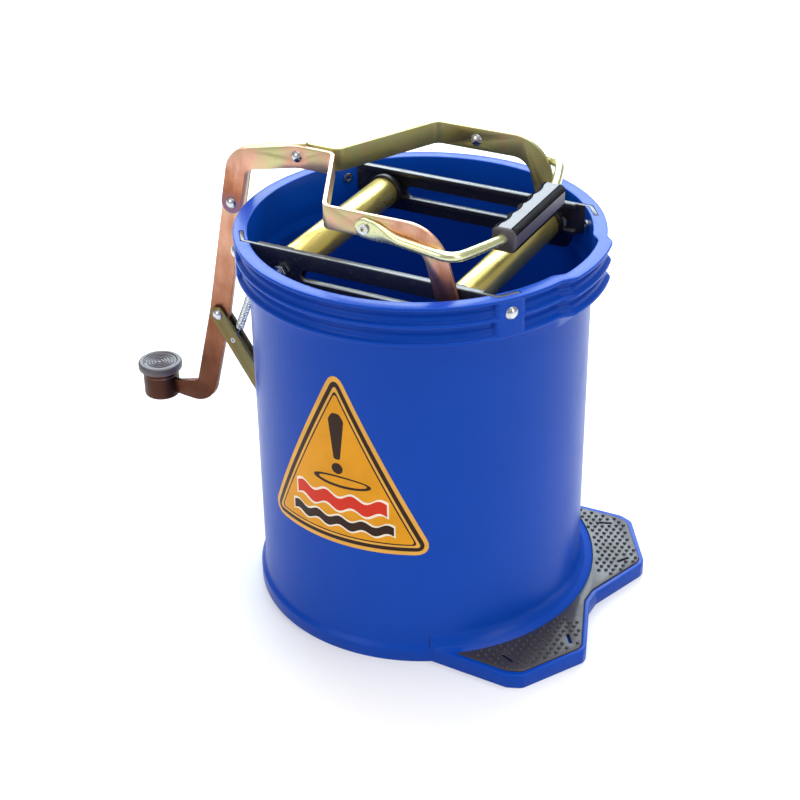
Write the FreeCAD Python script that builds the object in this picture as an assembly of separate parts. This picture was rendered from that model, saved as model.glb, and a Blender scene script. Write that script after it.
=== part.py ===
import FreeCAD, Part
import math
import os

# Wringer mop bucket with a foot pedal.  Units are millimetres.
# Origin: bucket axis at the floor.  +X points to the pouring lip and the foot plate,
# -X to the pedal, +Z is up.  The mechanism mirrors about the plane y = 0.

V = FreeCAD.Vector

# ---- driving dimensions -------------------------------------------------------------
# bucket shell
height = 332.0            # floor to the top of the rim
body_r = 139.5            # outer radius of the body
rim_reach = 10.5          # how far the rim stands out of the body
rim_lap = 1.2             # how far the rim reaches in over the wall's outer face
wall = 3.0
floor_z = 6.0             # underside of the bottom panel
floor_t = 4.0
base_flange_w = 4.1       # how far the base flange stands out of the body
base_flange_h = 13.0
hub_r = 32.0              # flat disc under the middle of the bottom
base_ribs = 8
band_h = 32.5             # height of the ribbed band under the rim
fin_t = 2.5
lip_t = 2.6               # thickness of the top flange
bay_depth = 3.5           # how far each bay of the band is sunk
bay_step = 2.5            # ledge inside each bay
fin_back = 0.5            # the ribs' edges behind the rim's
bay_step_share = 0.33     # part of a bay's height that the ledge takes
rivet_pad_half_deg = 4.4  # half width of the plain pad around each rim rivet
# pouring lip
spout_push = 5.6          # how far the lip stands out of the rim
spout_half_deg = 16.0
spout_drop = 30.0         # height of the channel inside the rim
# foot plate, reaches measured from the body's outer face
foot_t = 13.0
foot_reach = 45.0
foot_tip_reach = 13.5
foot_notch_reach = 24.0
foot_corner_y = 67.0
foot_tip_y = 122.0
foot_corner_cut = 3.0
foot_tip_cut = 12.0
foot_notch_half = 8.0
foot_bend_r = 9.0
foot_root_deg = 63.4      # where the foot plate's sides leave the body
foot_root_sink = 0.9
foot_web_pitch = 30.0
cove_w = 12.5             # hollow curve between the body and the foot plate
cove_half_deg = 60.0
pad_t = 3.0
pad_inset = 4.0
pad_sink = 2.0            # how far the tread pad sits in its recess
pad_slot_len = 12.0
pad_slot_w = 2.4
# caution label
label_t = 0.4
label_half_w = 80.5
label_low_z = 105.0
label_high_z = 270.0
label_corner_r = 9.0
# side plates that carry the rollers
plate_y = 90.5            # middle of the sheet, from the centre plane
plate_t = 3.0
plate_hem = 3.0           # extra width of the folded top hem and lower lip
hem_h = 4.0
plate_depth = 37.0
plate_tab_depth = 25.0
plate_tab_len = 17.5
tab_seat = 8.114          # from a plate's bend to its rivet, along the tab
tab_wall = 3.3            # body's outer face to the middle of a tab
slot_from_x = -58.0
slot_past = 16.0          # slot's end beyond the moving roller
slot_h = 10.0
tab_clear = 0.4
rivet_r = 3.0
head_r = 5.4
head_t = 2.6
# rollers
roller_drop = 18.5        # roller axis below the rim
fixed_x = -75.0
moving_x = 75.0
tube_r = 13.3
tube_wall = 1.5
plug_flange_r = 15.6
plug_flange_t = 5.5
plug_depth = 16.0
plug_nose = 3.0           # thickness of the boss around the axle
plug_boss = 1.2           # moving plugs' boss beyond the flange
plug_gap = 0.8            # roller end to the part beside it
axle_r = 3.5
running = 0.05            # radial clearance of a turning fit
clear = 0.3               # gap between parts that pass each other
nut_r = 6.3
nut_t = 5.0
axle_past_nut = 2.0
block_len = 20.0
block_flange_len = 26.0
block_flange_h = 16.0
block_flange_t = 1.7
block_gap = 0.5           # slide block to the hem beside it
washer_t = 1.4
washer_r = 7.5
# yoke straps and pedal lever
strap_t = 3.0
strap_w = 19.0
arm_rise = 38.5           # straps' parallel arms above the rim
splay_from_x = -76.0
splay_to_x = -32.0
shoulder_back = 17.0      # where the arms turn down, behind the moving axle
lever_t = 5.0
lever_w = 19.5
lever_lap = 9.0           # lever's end beyond its last rivet
arch_out = 29.0           # outer corner of the arch, from the body's outer face
arch_rise = 26.0
arch_rivet_in = 29.8
arch_rivet_rise = 39.0
hook_rivet_out = 37.5
hook_rivet_drop = 15.0
link_pin_out = 60.0
link_pin_z = 204.8
bend_out = 82.0
bend_z = 117.5
slip_x = -2.2             # how far the link pin shifts in the lever's slot, mid-travel
slip_z = 3.3
slip_play = 0.35
# pedal button
pedal_out = 131.9
pedal_low_z = 104.5
pedal_h = 34.2
cup_r = 16.5
cup_h = 22.0
cup_wall = 1.5
cap_r = 20.3
cap_skirt = 3.0
# link and its bracket on the wall
hinge_out = 11.5
hinge_z = 131.0
link_t = 2.5
link_w = 15.0
bracket_t = 2.5
bracket_half_h = 23.0
bracket_half_w = 12.0
bracket_rivet_dz = 17.5
wall_rivet_r = 2.5
# return spring
anchor_out = 10.5
anchor_drop = 60.0        # spring's upper pin below the rim
anchor_t = 2.0
anchor_rivet_dz = 9.0
anchor_ear_r = 4.2
anchor_hole_r = 1.9
spring_pin_share = 0.7    # cross pin's place along the link, from its hinge
spring_pin_r = 2.2
spring_r = 4.0
wire_r = 0.7
hook_r = 3.4
lower_hook_r = 5.0
lower_neck = 8.6          # straight wire between the lower eye and the coil
# carrying handle
handle_x = 4.7
handle_rise = 37.4        # handle's pivots above the rim
eye_t = 3.1
eye_r = 8.0
bail_r = 4.0
bail_bend_r = 14.0
bail_corner_x = 78.5
bail_corner_rise = 28.0
grip_x = 95.0
grip_rise = 24.2
grip_w = 20.5
grip_h = 20.0
grip_len = 96.0
finger_waves = 4
finger_depth = 1.8

# ---- values that follow from them ---------------------------------------------------
rim_r = body_r + rim_reach
rim_inner_r = body_r - rim_lap
base_flange_r = body_r + base_flange_w
skirt_in_r = base_flange_r - 2 * wall      # inside of the base ring
foot_x = body_r + foot_reach
foot_tip_x = body_r + foot_tip_reach
foot_notch_x = body_r + foot_notch_reach
pad_inner_r = body_r + cove_w
tab_r = body_r + tab_wall
slot_to_x = moving_x + slot_past
roller_z = height - roller_drop
plate_out = plate_y + plate_t / 2          # outer face of a side plate
plate_in = plate_y - plate_t / 2
block_in = plate_in - plate_hem - block_gap
tube_half = block_in - plug_gap - plug_boss - plug_flange_t
strap_in = plate_out + 2 * clear + block_flange_t
strap_out = strap_in + strap_t
strap_mid = (strap_in + strap_out) / 2
flat_mid = lever_t / 2 + strap_t / 2       # strap sheet where it lies on the lever
arm_z = height + arm_rise
shoulder_x = moving_x - shoulder_back
arch_x = -body_r - arch_out
arch_z = height + arch_rise
arch_rivet_x = arch_rivet_in - body_r
arch_rivet_z = height + arch_rivet_rise
hook_rivet_x = -body_r - hook_rivet_out
hook_rivet_z = height - hook_rivet_drop
link_pin_x = -body_r - link_pin_out
bend_x = -body_r - bend_out
pedal_x = -body_r - pedal_out
pedal_high_z = pedal_low_z + pedal_h
cheek_in = lever_t / 2 + clear             # inner face of a link cheek
cheek_out = cheek_in + link_t
ear_in = cheek_out + clear
hinge_x = -body_r - hinge_out
anchor_x = -body_r - anchor_out
anchor_z = height - anchor_drop
spring_pin_x = hinge_x + spring_pin_share * (link_pin_x - hinge_x)
spring_pin_z = hinge_z + spring_pin_share * (link_pin_z - hinge_z)
handle_z = height + handle_rise
eye_in = strap_out + clear                 # inner face of a flattened handle eye
eye_out = eye_in + eye_t
bail_y = eye_in + bail_r
bail_corner_z = height + bail_corner_rise
grip_z = height + grip_rise
tab_angle = math.degrees(math.asin(plate_y / math.hypot(tab_r, tab_seat)) - math.atan2(tab_seat, tab_r))
rivet_angles = (-tab_angle, tab_angle, 180 - tab_angle, 180 + tab_angle)
parts = {}


# ---- helpers ------------------------------------------------------------------------
def mirrored(shape):
    return shape.mirror(V(0, 0, 0), V(0, 1, 0))


def unit(a, b):
    d = math.hypot(b[0] - a[0], b[1] - a[1])
    return ((b[0] - a[0]) / d, (b[1] - a[1]) / d)


def outline(points, to_space):
    """Closed wire through (u, v, corner radius) points, with each corner rounded."""
    stops = []
    count = len(points)
    for i, (u, v, r) in enumerate(points):
        before = unit((u, v), points[i - 1])
        after = unit((u, v), points[(i + 1) % count])
        turn = math.acos(max(-1.0, min(1.0, before[0] * after[0] + before[1] * after[1])))
        if r < 1e-6 or abs(turn - math.pi) < 1e-4:
            stops.append([(u, v)])
            continue
        back = r / math.tan(turn / 2)
        bisect = (before[0] + after[0], before[1] + after[1])
        size = math.hypot(*bisect)
        out = r / math.sin(turn / 2) - r
        stops.append([(u + before[0] * back, v + before[1] * back),
                      (u + bisect[0] / size * out, v + bisect[1] / size * out),
                      (u + after[0] * back, v + after[1] * back)])
    edges = []
    for i, stop in enumerate(stops):
        if len(stop) == 3:
            edges.append(Part.Arc(*[to_space(*p) for p in stop]).toShape())
        start, end = to_space(*stop[-1]), to_space(*stops[(i + 1) % count][0])
        if (start - end).Length > 1e-5:
            edges.append(Part.LineSegment(start, end).toShape())
    return Part.Wire(edges)


def strip(points, width, end_radius=0.0):
    """Outline points of a band of even width along (u, v, bend radius) points."""
    left, right = [], []
    last = len(points) - 1
    for i, (u, v, r) in enumerate(points):
        to_me = unit(points[i - 1], points[i]) if i else unit(points[0], points[1])
        away = unit(points[i], points[i + 1]) if i < last else to_me
        normal = (-(to_me[1] + away[1]), to_me[0] + away[0])
        size = math.hypot(*normal)
        reach = width / 2 / math.sqrt((1 + to_me[0] * away[0] + to_me[1] * away[1]) / 2)
        du, dv = normal[0] / size * reach, normal[1] / size * reach
        turn = to_me[0] * away[1] - to_me[1] * away[0]
        inner, outer = max(r - width / 2, 0.0), r + width / 2
        if i in (0, last):
            inner = outer = end_radius
        left.append((u + du, v + dv, inner if turn > 0 else outer))
        right.append((u - du, v - dv, outer if turn > 0 else inner))
    return left + right[::-1]


def slab_xz(points, y0, y1):
    wire = outline(points, lambda u, v: V(u, y0, v))
    return Part.Face(wire).extrude(V(0, y1 - y0, 0))


def slab_xy(points, z0, z1):
    wire = outline(points, lambda u, v: V(u, v, z0))
    return Part.Face(wire).extrude(V(0, 0, z1 - z0))


def rod(start, end, radius):
    return Part.makeCylinder(radius, (end - start).Length, start, end - start)


def turned(points, degrees=360.0, start_degrees=0.0):
    """Solid of revolution about Z of an (r, z) outline."""
    wire = Part.makePolygon([V(r, 0, z) for r, z in points + points[:1]])
    solid = Part.Face(wire).revolve(V(0, 0, 0), V(0, 0, 1), degrees)
    solid.rotate(V(0, 0, 0), V(0, 0, 1), start_degrees)
    return solid


def sector(points, half_deg, at_deg=0.0):
    return turned(points, 2 * half_deg, at_deg - half_deg)


def dome(base, direction, radius, rise):
    """Domed rivet head: a spherical cap standing on base."""
    ball_r = (radius * radius + rise * rise) / (2 * rise)
    axis = V(direction).normalize()
    ball = Part.makeSphere(ball_r, base - axis * (ball_r - rise))
    keep = Part.makeCylinder(radius * 1.2, rise * 2, base, axis)
    return ball.common(keep)


def ring(centre, axis, mean_r, thick_r):
    return Part.makeTorus(mean_r, thick_r, centre, axis)


def rounded(solid, radius, pick):
    edges = [e for e in solid.Edges if pick(e)]
    return solid.makeFillet(radius, edges)


# ---- bucket -------------------------------------------------------------------------
def band_outline(push=0.0):
    """(r, z) points of the rim and its two open bays, from the wall under them to the inner edge."""
    fin_r = rim_r - fin_back + push
    ledge_r = fin_r - bay_depth
    deep_r = ledge_r - bay_step
    bay = (band_h - fin_t - lip_t) / 2
    low = height - band_h
    mid = low + bay + fin_t / 2
    ledge = bay * bay_step_share
    return [
        (fin_r, low), (fin_r, low + fin_t), (ledge_r, low + fin_t), (ledge_r, mid - fin_t / 2 - ledge),
        (deep_r, mid - fin_t / 2 - ledge), (deep_r, mid - fin_t / 2), (fin_r, mid - fin_t / 2),
        (fin_r, mid + fin_t / 2), (ledge_r, mid + fin_t / 2), (ledge_r, height - lip_t - ledge),
        (deep_r, height - lip_t - ledge), (deep_r, height - lip_t), (rim_r + push, height - lip_t),
        (rim_r + push, height), (rim_inner_r + push, height),
    ]


def foot_plan(inset, inner_r):
    """Foot plate seen from above: two lobes and a middle notch, closed through the bucket."""
    root = math.radians(foot_root_deg)
    root_r = body_r - foot_root_sink
    lobe = [
        (foot_notch_x - inset + 1.0, foot_notch_half + inset * 0.2, foot_bend_r),
        (foot_x - inset, foot_corner_y - foot_corner_cut, 4.0),
        (foot_x - inset, foot_corner_y + foot_corner_cut, 6.0),
        (foot_tip_x - inset * 0.6, foot_tip_y - inset * 0.9, foot_bend_r),
        (foot_tip_x - foot_tip_cut - inset * 0.6, foot_tip_y + 5.0 - inset * 1.1, foot_bend_r),
        (root_r * math.cos(root) + inset * 5.0, root_r * math.sin(root) - inset * 0.9, 3.0 if inset else 0.0),
    ]
    other = [(x, -y, r) for x, y, r in lobe]
    inside = inner_r * 0.3
    half = root_r * math.sin(root) / 2
    return other[::-1] + lobe + [(inside, half, 0.0), (inside, -half, 0.0)]


def tread_area(inset, z0, z1):
    """The pad's area: the foot plate inside its border and outside the cove."""
    area = slab_xy(foot_plan(inset, pad_inner_r), z0, z1)
    return area.cut(Part.makeCylinder(pad_inner_r, z1 - z0 + 2, V(0, 0, z0 - 1)))


def rim_rivet_frames():
    """Seat point on the tab, and the outward direction, of each rivet that holds a side plate."""
    frames = []
    for degrees in rivet_angles:
        a = math.radians(degrees)
        out = V(math.cos(a), math.sin(a), 0)
        frames.append((out * tab_r + V(0, 0, height - plate_tab_depth / 2), out))
    return frames


def plate_plan(thickness):
    """Side plate seen from above: straight sheet with an end tab bent along the rim."""
    a = math.radians(tab_angle)
    corner_x = (tab_r - plate_y * math.sin(a)) / math.cos(a)
    end_x = corner_x + plate_tab_len * math.sin(a)
    end_y = plate_y - plate_tab_len * math.cos(a)
    path = [(-end_x, -end_y, 0), (-corner_x, -plate_y, 4.5), (corner_x, -plate_y, 4.5), (end_x, -end_y, 0)]
    grow = thickness - plate_t
    first = unit(path[1], path[0])
    path[0] = (path[0][0] + first[0] * grow / 2, path[0][1] + first[1] * grow / 2, 0)
    path[3] = (-path[0][0], path[0][1], 0)
    return strip(path, thickness)


def bucket_section():
    """(r, z) outline of the wall and the bottom, spun into the shell."""
    inner_low = floor_z + floor_t
    flare = height - band_h - 6.0
    under = base_flange_r - 3 * wall
    return [
        (0, floor_z), (under, floor_z), (under, 0), (base_flange_r, 0), (base_flange_r, base_flange_h - 2),
        (base_flange_r - 1.5, base_flange_h), (body_r + 1.0, base_flange_h + 1.5), (body_r, base_flange_h + 5),
        (body_r, height - band_h - 1.0),
    ] + band_outline() + [
        (rim_inner_r, flare), (body_r - wall, flare - 8), (body_r - wall, inner_low + 5),
        (body_r - wall - 1.5, inner_low + 1.5), (body_r - wall - 5, inner_low), (0, inner_low),
    ]


def inner_section():
    """(r, z) outline of the water space."""
    section = bucket_section()
    return section[-6:] + [(0, height + 1), (rim_inner_r, height + 1)]


def foot_cove():
    """Hollow curve that joins the body to the foot plate."""
    rise = cove_w + foot_t * 0.1
    foot = foot_t
    points = [(body_r - 1, foot - 2), (pad_inner_r, foot - 2), (pad_inner_r, foot),
              (body_r + rise * 0.42, foot + rise * 0.13), (body_r + rise * 0.15, foot + rise * 0.42),
              (body_r, foot + rise), (body_r - 1, foot + rise)]
    limits = slab_xy(foot_plan(0.0, body_r), -1, foot + rise + 1)
    return sector(points, cove_half_deg).common(limits)


def underside_pockets():
    """Hollows under the foot plate, between its webs."""
    pockets = slab_xy([(x, y, 0) for x, y, _ in foot_plan(wall + 1.0, body_r)], -1, foot_t - wall - pad_sink)
    pockets = pockets.cut(Part.makeCylinder(base_flange_r, foot_t, V(0, 0, -2)))
    rows = int(foot_tip_y / foot_web_pitch)
    for row in range(-rows, rows):
        y = (row + 0.5) * foot_web_pitch
        pockets = pockets.cut(Part.makeBox(foot_x, wall, foot_t * 2, V(0, y - wall / 2, -2)))
    return pockets


def pouring_lip():
    """The lip's solid and the channel inside it."""
    base = height - band_h
    points = [(body_r - wall, base - 6), (body_r + spout_push - wall, base - 2)]
    points += band_outline(spout_push) + [(body_r - wall, height)]
    low = height - spout_drop
    channel_r = rim_inner_r + spout_push
    back = body_r - wall - 2
    channel = [(back, low), (rim_inner_r, low), (channel_r, low + 3 * spout_push), (channel_r, height + 1),
               (back, height + 1)]
    return sector(points, spout_half_deg), sector(channel, spout_half_deg - 2.5)


def make_bucket():
    shell = turned(bucket_section())
    hub = Part.makeCylinder(hub_r, floor_z + 1, V(0, 0, 0))
    ribs = []
    for i in range(base_ribs):
        rib = Part.makeBox(skirt_in_r - hub_r, wall, floor_z - 0.5, V(hub_r - 1, -wall / 2, 1.0))
        rib.rotate(V(0, 0, 0), V(0, 0, 1), 360.0 / base_ribs * (i + 0.5))
        ribs.append(rib)
    pad_in, pad_out = rim_inner_r + wall, rim_r - 0.3
    pad_points = [(pad_in, height - band_h), (pad_out, height - band_h),
                  (pad_out, height - 1), (pad_in, height - 1)]
    pads = [sector(pad_points, rivet_pad_half_deg, a) for a in rivet_angles]
    lip, channel = pouring_lip()
    plate = slab_xy(foot_plan(0.0, body_r), 0, foot_t)
    plate = plate.cut(Part.makeCylinder(skirt_in_r, foot_t * 3, V(0, 0, -foot_t)))
    bucket = shell.fuse([hub, lip, plate, foot_cove()] + ribs + pads)
    seat = tread_area(pad_inset, foot_t - pad_sink, foot_t + 1)
    notches = slab_xy(plate_plan(plate_t + 2 * tab_clear), height - plate_tab_depth - tab_clear, height + 1)
    notches = notches.fuse(mirrored(notches))
    shanks = [rod(seat_p - out * 12, seat_p + out * 12, rivet_r) for seat_p, out in rim_rivet_frames()]
    rivet_heights = (hinge_z - bracket_rivet_dz, hinge_z + bracket_rivet_dz, anchor_z + anchor_rivet_dz)
    pins = [rod(V(-body_r - wall, 0, z), V(-body_r + 2 * wall, 0, z), wall_rivet_r) for z in rivet_heights]
    bucket = bucket.cut([turned(inner_section()), channel, seat, underside_pockets(), notches] + shanks + pins)
    return bucket.removeSplitter()


def make_foot_pad():
    pad = tread_area(pad_inset + clear, foot_t - pad_sink, foot_t - pad_sink + pad_t)
    pad = pad.cut(Part.makeCylinder(pad_inner_r + clear, foot_t * 3, V(0, 0, 0)))
    places = ((foot_x - 16.5, foot_corner_y - 5, 55), (foot_tip_x - 20, foot_tip_y - 14, 20))
    slots = []
    for side in (-1, 1):
        for x, y, turn in places:
            corner = V(-pad_slot_len / 2, -pad_slot_w / 2, pad_sink + pad_t)
            slot = Part.makeBox(pad_slot_len, pad_slot_w, foot_t, corner)
            slot.rotate(V(0, 0, 0), V(0, 0, 1), turn * side)
            slot.translate(V(x, y * side, 0))
            slots.append(slot)
    return pad.cut(slots)


def make_label():
    """Thin triangular sticker that follows the wall on the -Y side."""
    width, low, high = label_half_w, label_low_z, label_high_z
    face = slab_xz([(-width, low, label_corner_r), (width, low, label_corner_r), (0, high, label_corner_r)],
                   -body_r - 5, -body_r / 2)
    skin = Part.makeCylinder(body_r + label_t, height, V(0, 0, 0))
    skin = skin.cut(Part.makeCylinder(body_r, height, V(0, 0, 0)))
    return face.common(skin)


# ---- side plates and their rivets ---------------------------------------------------
def make_side_plate():
    top, low = height, height - plate_depth
    tab_low = top - plate_tab_depth
    side = slab_xz([
        (-tab_r, top, 0), (tab_r, top, 0), (tab_r, tab_low, 0), (moving_x + 29, tab_low, 0),
        (moving_x + 21, tab_low - 3, 3), (moving_x + 19, low - 4, 9), (moving_x - 9, low - 4, 8),
        (moving_x - 17, low, 6), (fixed_x - 17, low, 8), (fixed_x - 25, tab_low, 4), (-tab_r, tab_low, 0),
    ], -2 * plate_y, -plate_y / 2)
    sheet = slab_xy(plate_plan(plate_t), low - 20, top + 1).common(side)
    hem_from, hem_to = fixed_x - 23, moving_x + 23
    hem = Part.makeBox(hem_to - hem_from, plate_hem, hem_h, V(hem_from, -plate_in, top - hem_h))
    lip_top = roller_z - slot_h / 2
    lip_len = slot_to_x - slot_from_x + 16
    lip_bar = Part.makeBox(lip_len, plate_hem, 3.5, V(slot_from_x - 8, -plate_in, lip_top - 3.5))
    slot = slab_xz([(slot_from_x, roller_z - slot_h / 2, 4.9), (slot_to_x, roller_z - slot_h / 2, 4.9),
                    (slot_to_x, roller_z + slot_h / 2, 4.9), (slot_from_x, roller_z + slot_h / 2, 4.9)],
                   -plate_y - 20, -plate_y + 20)
    axle_hole = rod(V(fixed_x, -plate_y - 20, roller_z), V(fixed_x, -plate_y + 20, roller_z), axle_r)
    shanks = [rod(p - out * 9, p + out * 9, rivet_r) for p, out in rim_rivet_frames() if p.y < 0]
    return sheet.fuse([hem, lip_bar]).cut([slot, axle_hole] + shanks).removeSplitter()


def make_rim_rivets():
    solids = []
    head_at = rim_r - 0.3 - tab_r
    tail_at = tab_r - rim_inner_r
    for seat, out in rim_rivet_frames():
        shank = rod(seat - out * (tail_at + 1.5), seat + out * head_at, rivet_r)
        head = dome(seat + out * head_at, out, head_r, head_t)
        tail = rod(seat - out * (tail_at + 1.8), seat - out * (tail_at + 0.15), rivet_r + 1.1)
        bore = rod(seat - out * (tail_at + 4), seat - out * (tail_at - 1.0), rivet_r - 0.9)
        solids.append(shank.fuse([head, tail]).cut(bore).removeSplitter())
    return Part.Compound(solids)


# ---- rollers ------------------------------------------------------------------------
def make_tube(x):
    outer = rod(V(x, -tube_half, roller_z), V(x, tube_half, roller_z), tube_r)
    return outer.cut(rod(V(x, -tube_half, roller_z), V(x, tube_half, roller_z), tube_r - tube_wall))


def make_plug(x, side, end_y):
    face = tube_half + plug_flange_t
    spigot = rod(V(x, tube_half - plug_depth, roller_z), V(x, tube_half, roller_z), tube_r - tube_wall)
    flange = rod(V(x, tube_half, roller_z), V(x, face, roller_z), plug_flange_r)
    flange = rounded(flange, 1.2, lambda e: e.Length > 2 * math.pi * plug_flange_r - 1)
    nose = rod(V(x, face - 1, roller_z), V(x, end_y, roller_z), axle_r + plug_nose)
    bore = rod(V(x, 0, roller_z), V(x, 120, roller_z), axle_r + running)
    plug = spigot.fuse([flange, nose]).cut(bore).removeSplitter()
    return plug if side > 0 else mirrored(plug)


def hex_nut(x, y0, y1):
    turns = [math.radians(60 * k) for k in range(6)]
    corners = [(x + nut_r * math.cos(a), roller_z + nut_r * math.sin(a), 0) for a in turns]
    return slab_xz(corners, y0, y1).cut(rod(V(x, y0 - 1, roller_z), V(x, y1 + 1, roller_z), axle_r))


def make_slide_block():
    """Nylon block that rides in a side plate's slot and carries the moving axle, -Y side."""
    h = slot_h - 2 * clear
    face = plate_out + clear
    body = Part.makeBox(block_len, face - block_in, h, V(moving_x - block_len / 2, -face, roller_z - h / 2))
    corner = V(moving_x - block_flange_len / 2, -face - block_flange_t, roller_z - block_flange_h / 2)
    flange = Part.makeBox(block_flange_len, block_flange_t, block_flange_h, corner)
    flange = rounded(flange, 3.0, lambda e: abs(e.BoundBox.YLength - block_flange_t) < 0.01)
    bore = rod(V(moving_x, -2 * plate_y, roller_z), V(moving_x, 0, roller_z), axle_r)
    return body.fuse(flange).cut(bore).removeSplitter()


def make_moving_axle():
    end = strap_out + clear + washer_t
    shank = rod(V(moving_x, -end - 1, roller_z), V(moving_x, end + 1, roller_z), axle_r)
    heads = [dome(V(moving_x, s * end, roller_z), V(0, s, 0), axle_r + 2.2, 2.4) for s in (-1, 1)]
    return shank.fuse(heads).removeSplitter()


def make_axle_washers():
    solids = []
    for side in (-1, 1):
        start = V(moving_x, side * (strap_out + clear), roller_z)
        end = V(moving_x, side * (strap_out + clear + washer_t), roller_z)
        solids.append(rod(start, end, washer_r).cut(rod(start, end, axle_r)))
    return Part.Compound(solids)


# ---- yoke straps, pedal lever -------------------------------------------------------
def arch_path():
    return [(hook_rivet_x, hook_rivet_z, 0), (arch_x, arch_z, 17.0), (arch_rivet_x, arch_rivet_z, 60.0)]


def make_strap():
    """Front strap: flat on the lever, splayed out to the side plate, then down to the axle."""
    side_path = arch_path()
    side_path += [(splay_from_x + 30.0, arm_z, 60.0), (shoulder_x, arm_z, 26.0), (moving_x, roller_z, 0)]
    down = unit(side_path[-2], side_path[-1])
    side_path[-1] = (moving_x + down[0] * strap_w / 2, roller_z + down[1] * strap_w / 2, 0)
    up = unit(side_path[1], side_path[0])
    side_path[0] = (hook_rivet_x + up[0] * strap_w / 2, hook_rivet_z + up[1] * strap_w / 2, 0)
    side = slab_xz(strip(side_path, strap_w, strap_w / 2 - 0.05), -140, 10)
    plan = strip([(-230, -flat_mid, 0), (splay_from_x, -flat_mid, 9.0), (splay_to_x, -strap_mid, 9.0),
                  (130, -strap_mid, 0)], strap_t)
    strap = side.common(slab_xy(plan, 0, 2 * height))
    holes = [rod(V(hook_rivet_x, -20, hook_rivet_z), V(hook_rivet_x, 20, hook_rivet_z), rivet_r),
             rod(V(arch_rivet_x, -20, arch_rivet_z), V(arch_rivet_x, 20, arch_rivet_z), rivet_r),
             rod(V(handle_x, -120, handle_z), V(handle_x, -60, handle_z), rivet_r),
             rod(V(moving_x, -120, roller_z), V(moving_x, -60, roller_z), axle_r + running)]
    return strap.cut(holes).removeSplitter()


def make_lever():
    path = [(pedal_x + cup_r - 1.0, bend_z + 2.0, 0), (bend_x, bend_z, 16.0), (link_pin_x, link_pin_z, 120.0)]
    path += [(x, z, r) for x, z, r in arch_path()]
    path[3] = (hook_rivet_x, hook_rivet_z, 200.0)
    end = unit(path[-2], path[-1])
    path[-1] = (arch_rivet_x + end[0] * lever_lap, arch_rivet_z + end[1] * lever_lap, 0)
    bar = slab_xz(strip(path, lever_w, 0.0), -lever_t / 2, lever_t / 2)
    stub_top = pedal_low_z + cup_h - cap_skirt - clear
    taper = slab_xz([(pedal_x, stub_top, 0), (pedal_x + cap_r + clear, stub_top, 0),
                     (bend_x - 12, bend_z + 10.5, 0), (bend_x - 12, bend_z + 30, 0),
                     (pedal_x, bend_z + 30, 0)], -9, 9)
    under = slab_xz([(pedal_x, bend_z - 5.5, 0), (bend_x - 10, bend_z - 9.9, 0), (bend_x - 10, bend_z - 30, 0),
                     (pedal_x, bend_z - 30, 0)], -9, 9)
    shift = math.hypot(slip_x, slip_z)
    d = (slip_x / shift, slip_z / shift)
    slot_w = 2 * (rivet_r + slip_play)
    ends = [(link_pin_x - d[0] * slot_w / 2, link_pin_z - d[1] * slot_w / 2, 0),
            (link_pin_x + slip_x + d[0] * slot_w / 2, link_pin_z + slip_z + d[1] * slot_w / 2, 0)]
    slot = slab_xz(strip(ends, slot_w, slot_w / 2 - 0.02), -9, 9)
    cup_space = Part.makeCylinder(cup_r, 60, V(pedal_x, 0, pedal_low_z - 10))
    holes = [rod(V(hook_rivet_x, -9, hook_rivet_z), V(hook_rivet_x, 9, hook_rivet_z), rivet_r),
             rod(V(arch_rivet_x, -9, arch_rivet_z), V(arch_rivet_x, 9, arch_rivet_z), rivet_r)]
    return bar.cut([taper, under, slot, cup_space] + holes).removeSplitter()


def make_through_rivets(places, half_grip):
    solids = []
    for x, z in places:
        shank = rod(V(x, -half_grip, z), V(x, half_grip, z), rivet_r)
        heads = [dome(V(x, s * half_grip, z), V(0, s, 0), head_r - 0.4, head_t) for s in (-1, 1)]
        solids.append(shank.fuse(heads).removeSplitter())
    return Part.Compound(solids)


def make_pedal_cup():
    cup = Part.makeCylinder(cup_r, cup_h, V(pedal_x, 0, pedal_low_z))
    cup = rounded(cup, 2.5, lambda e: abs(e.BoundBox.ZMax - pedal_low_z) < 0.01)
    return cup.cut(Part.makeCylinder(cup_r - cup_wall, cup_h, V(pedal_x, 0, pedal_low_z + cup_wall)))


def make_pedal_cap():
    rim_z = pedal_low_z + cup_h
    cap = Part.makeCylinder(cap_r, pedal_high_z - rim_z + cap_skirt, V(pedal_x, 0, rim_z - cap_skirt))
    cap = rounded(cap, 2.4, lambda e: e.Length > 100)
    ring_space = Part.makeCylinder(cup_r, cap_skirt, V(pedal_x, 0, rim_z - cap_skirt))
    plug = Part.makeCylinder(cup_r - cup_wall, cup_h * 0.75, V(pedal_x, 0, rim_z - cup_h * 0.75))
    return cap.cut(ring_space).fuse(plug).removeSplitter()


# ---- link, its bracket and the return spring ----------------------------------------
def make_link_cheek():
    path = [(hinge_x, hinge_z, 0), (link_pin_x, link_pin_z, 0)]
    d = unit(path[0], path[1])
    half = link_w / 2
    path = [(hinge_x - d[0] * half, hinge_z - d[1] * half, 0),
            (link_pin_x + d[0] * half, link_pin_z + d[1] * half, 0)]
    cheek = slab_xz(strip(path, link_w, half - 0.05), -cheek_out, -cheek_in)
    return cheek.cut([rod(V(hinge_x, -20, hinge_z), V(hinge_x, 20, hinge_z), rivet_r + running),
                      rod(V(link_pin_x, -20, link_pin_z), V(link_pin_x, 20, link_pin_z), rivet_r),
                      rod(V(spring_pin_x, -20, spring_pin_z), V(spring_pin_x, 20, spring_pin_z), spring_pin_r)])


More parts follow.
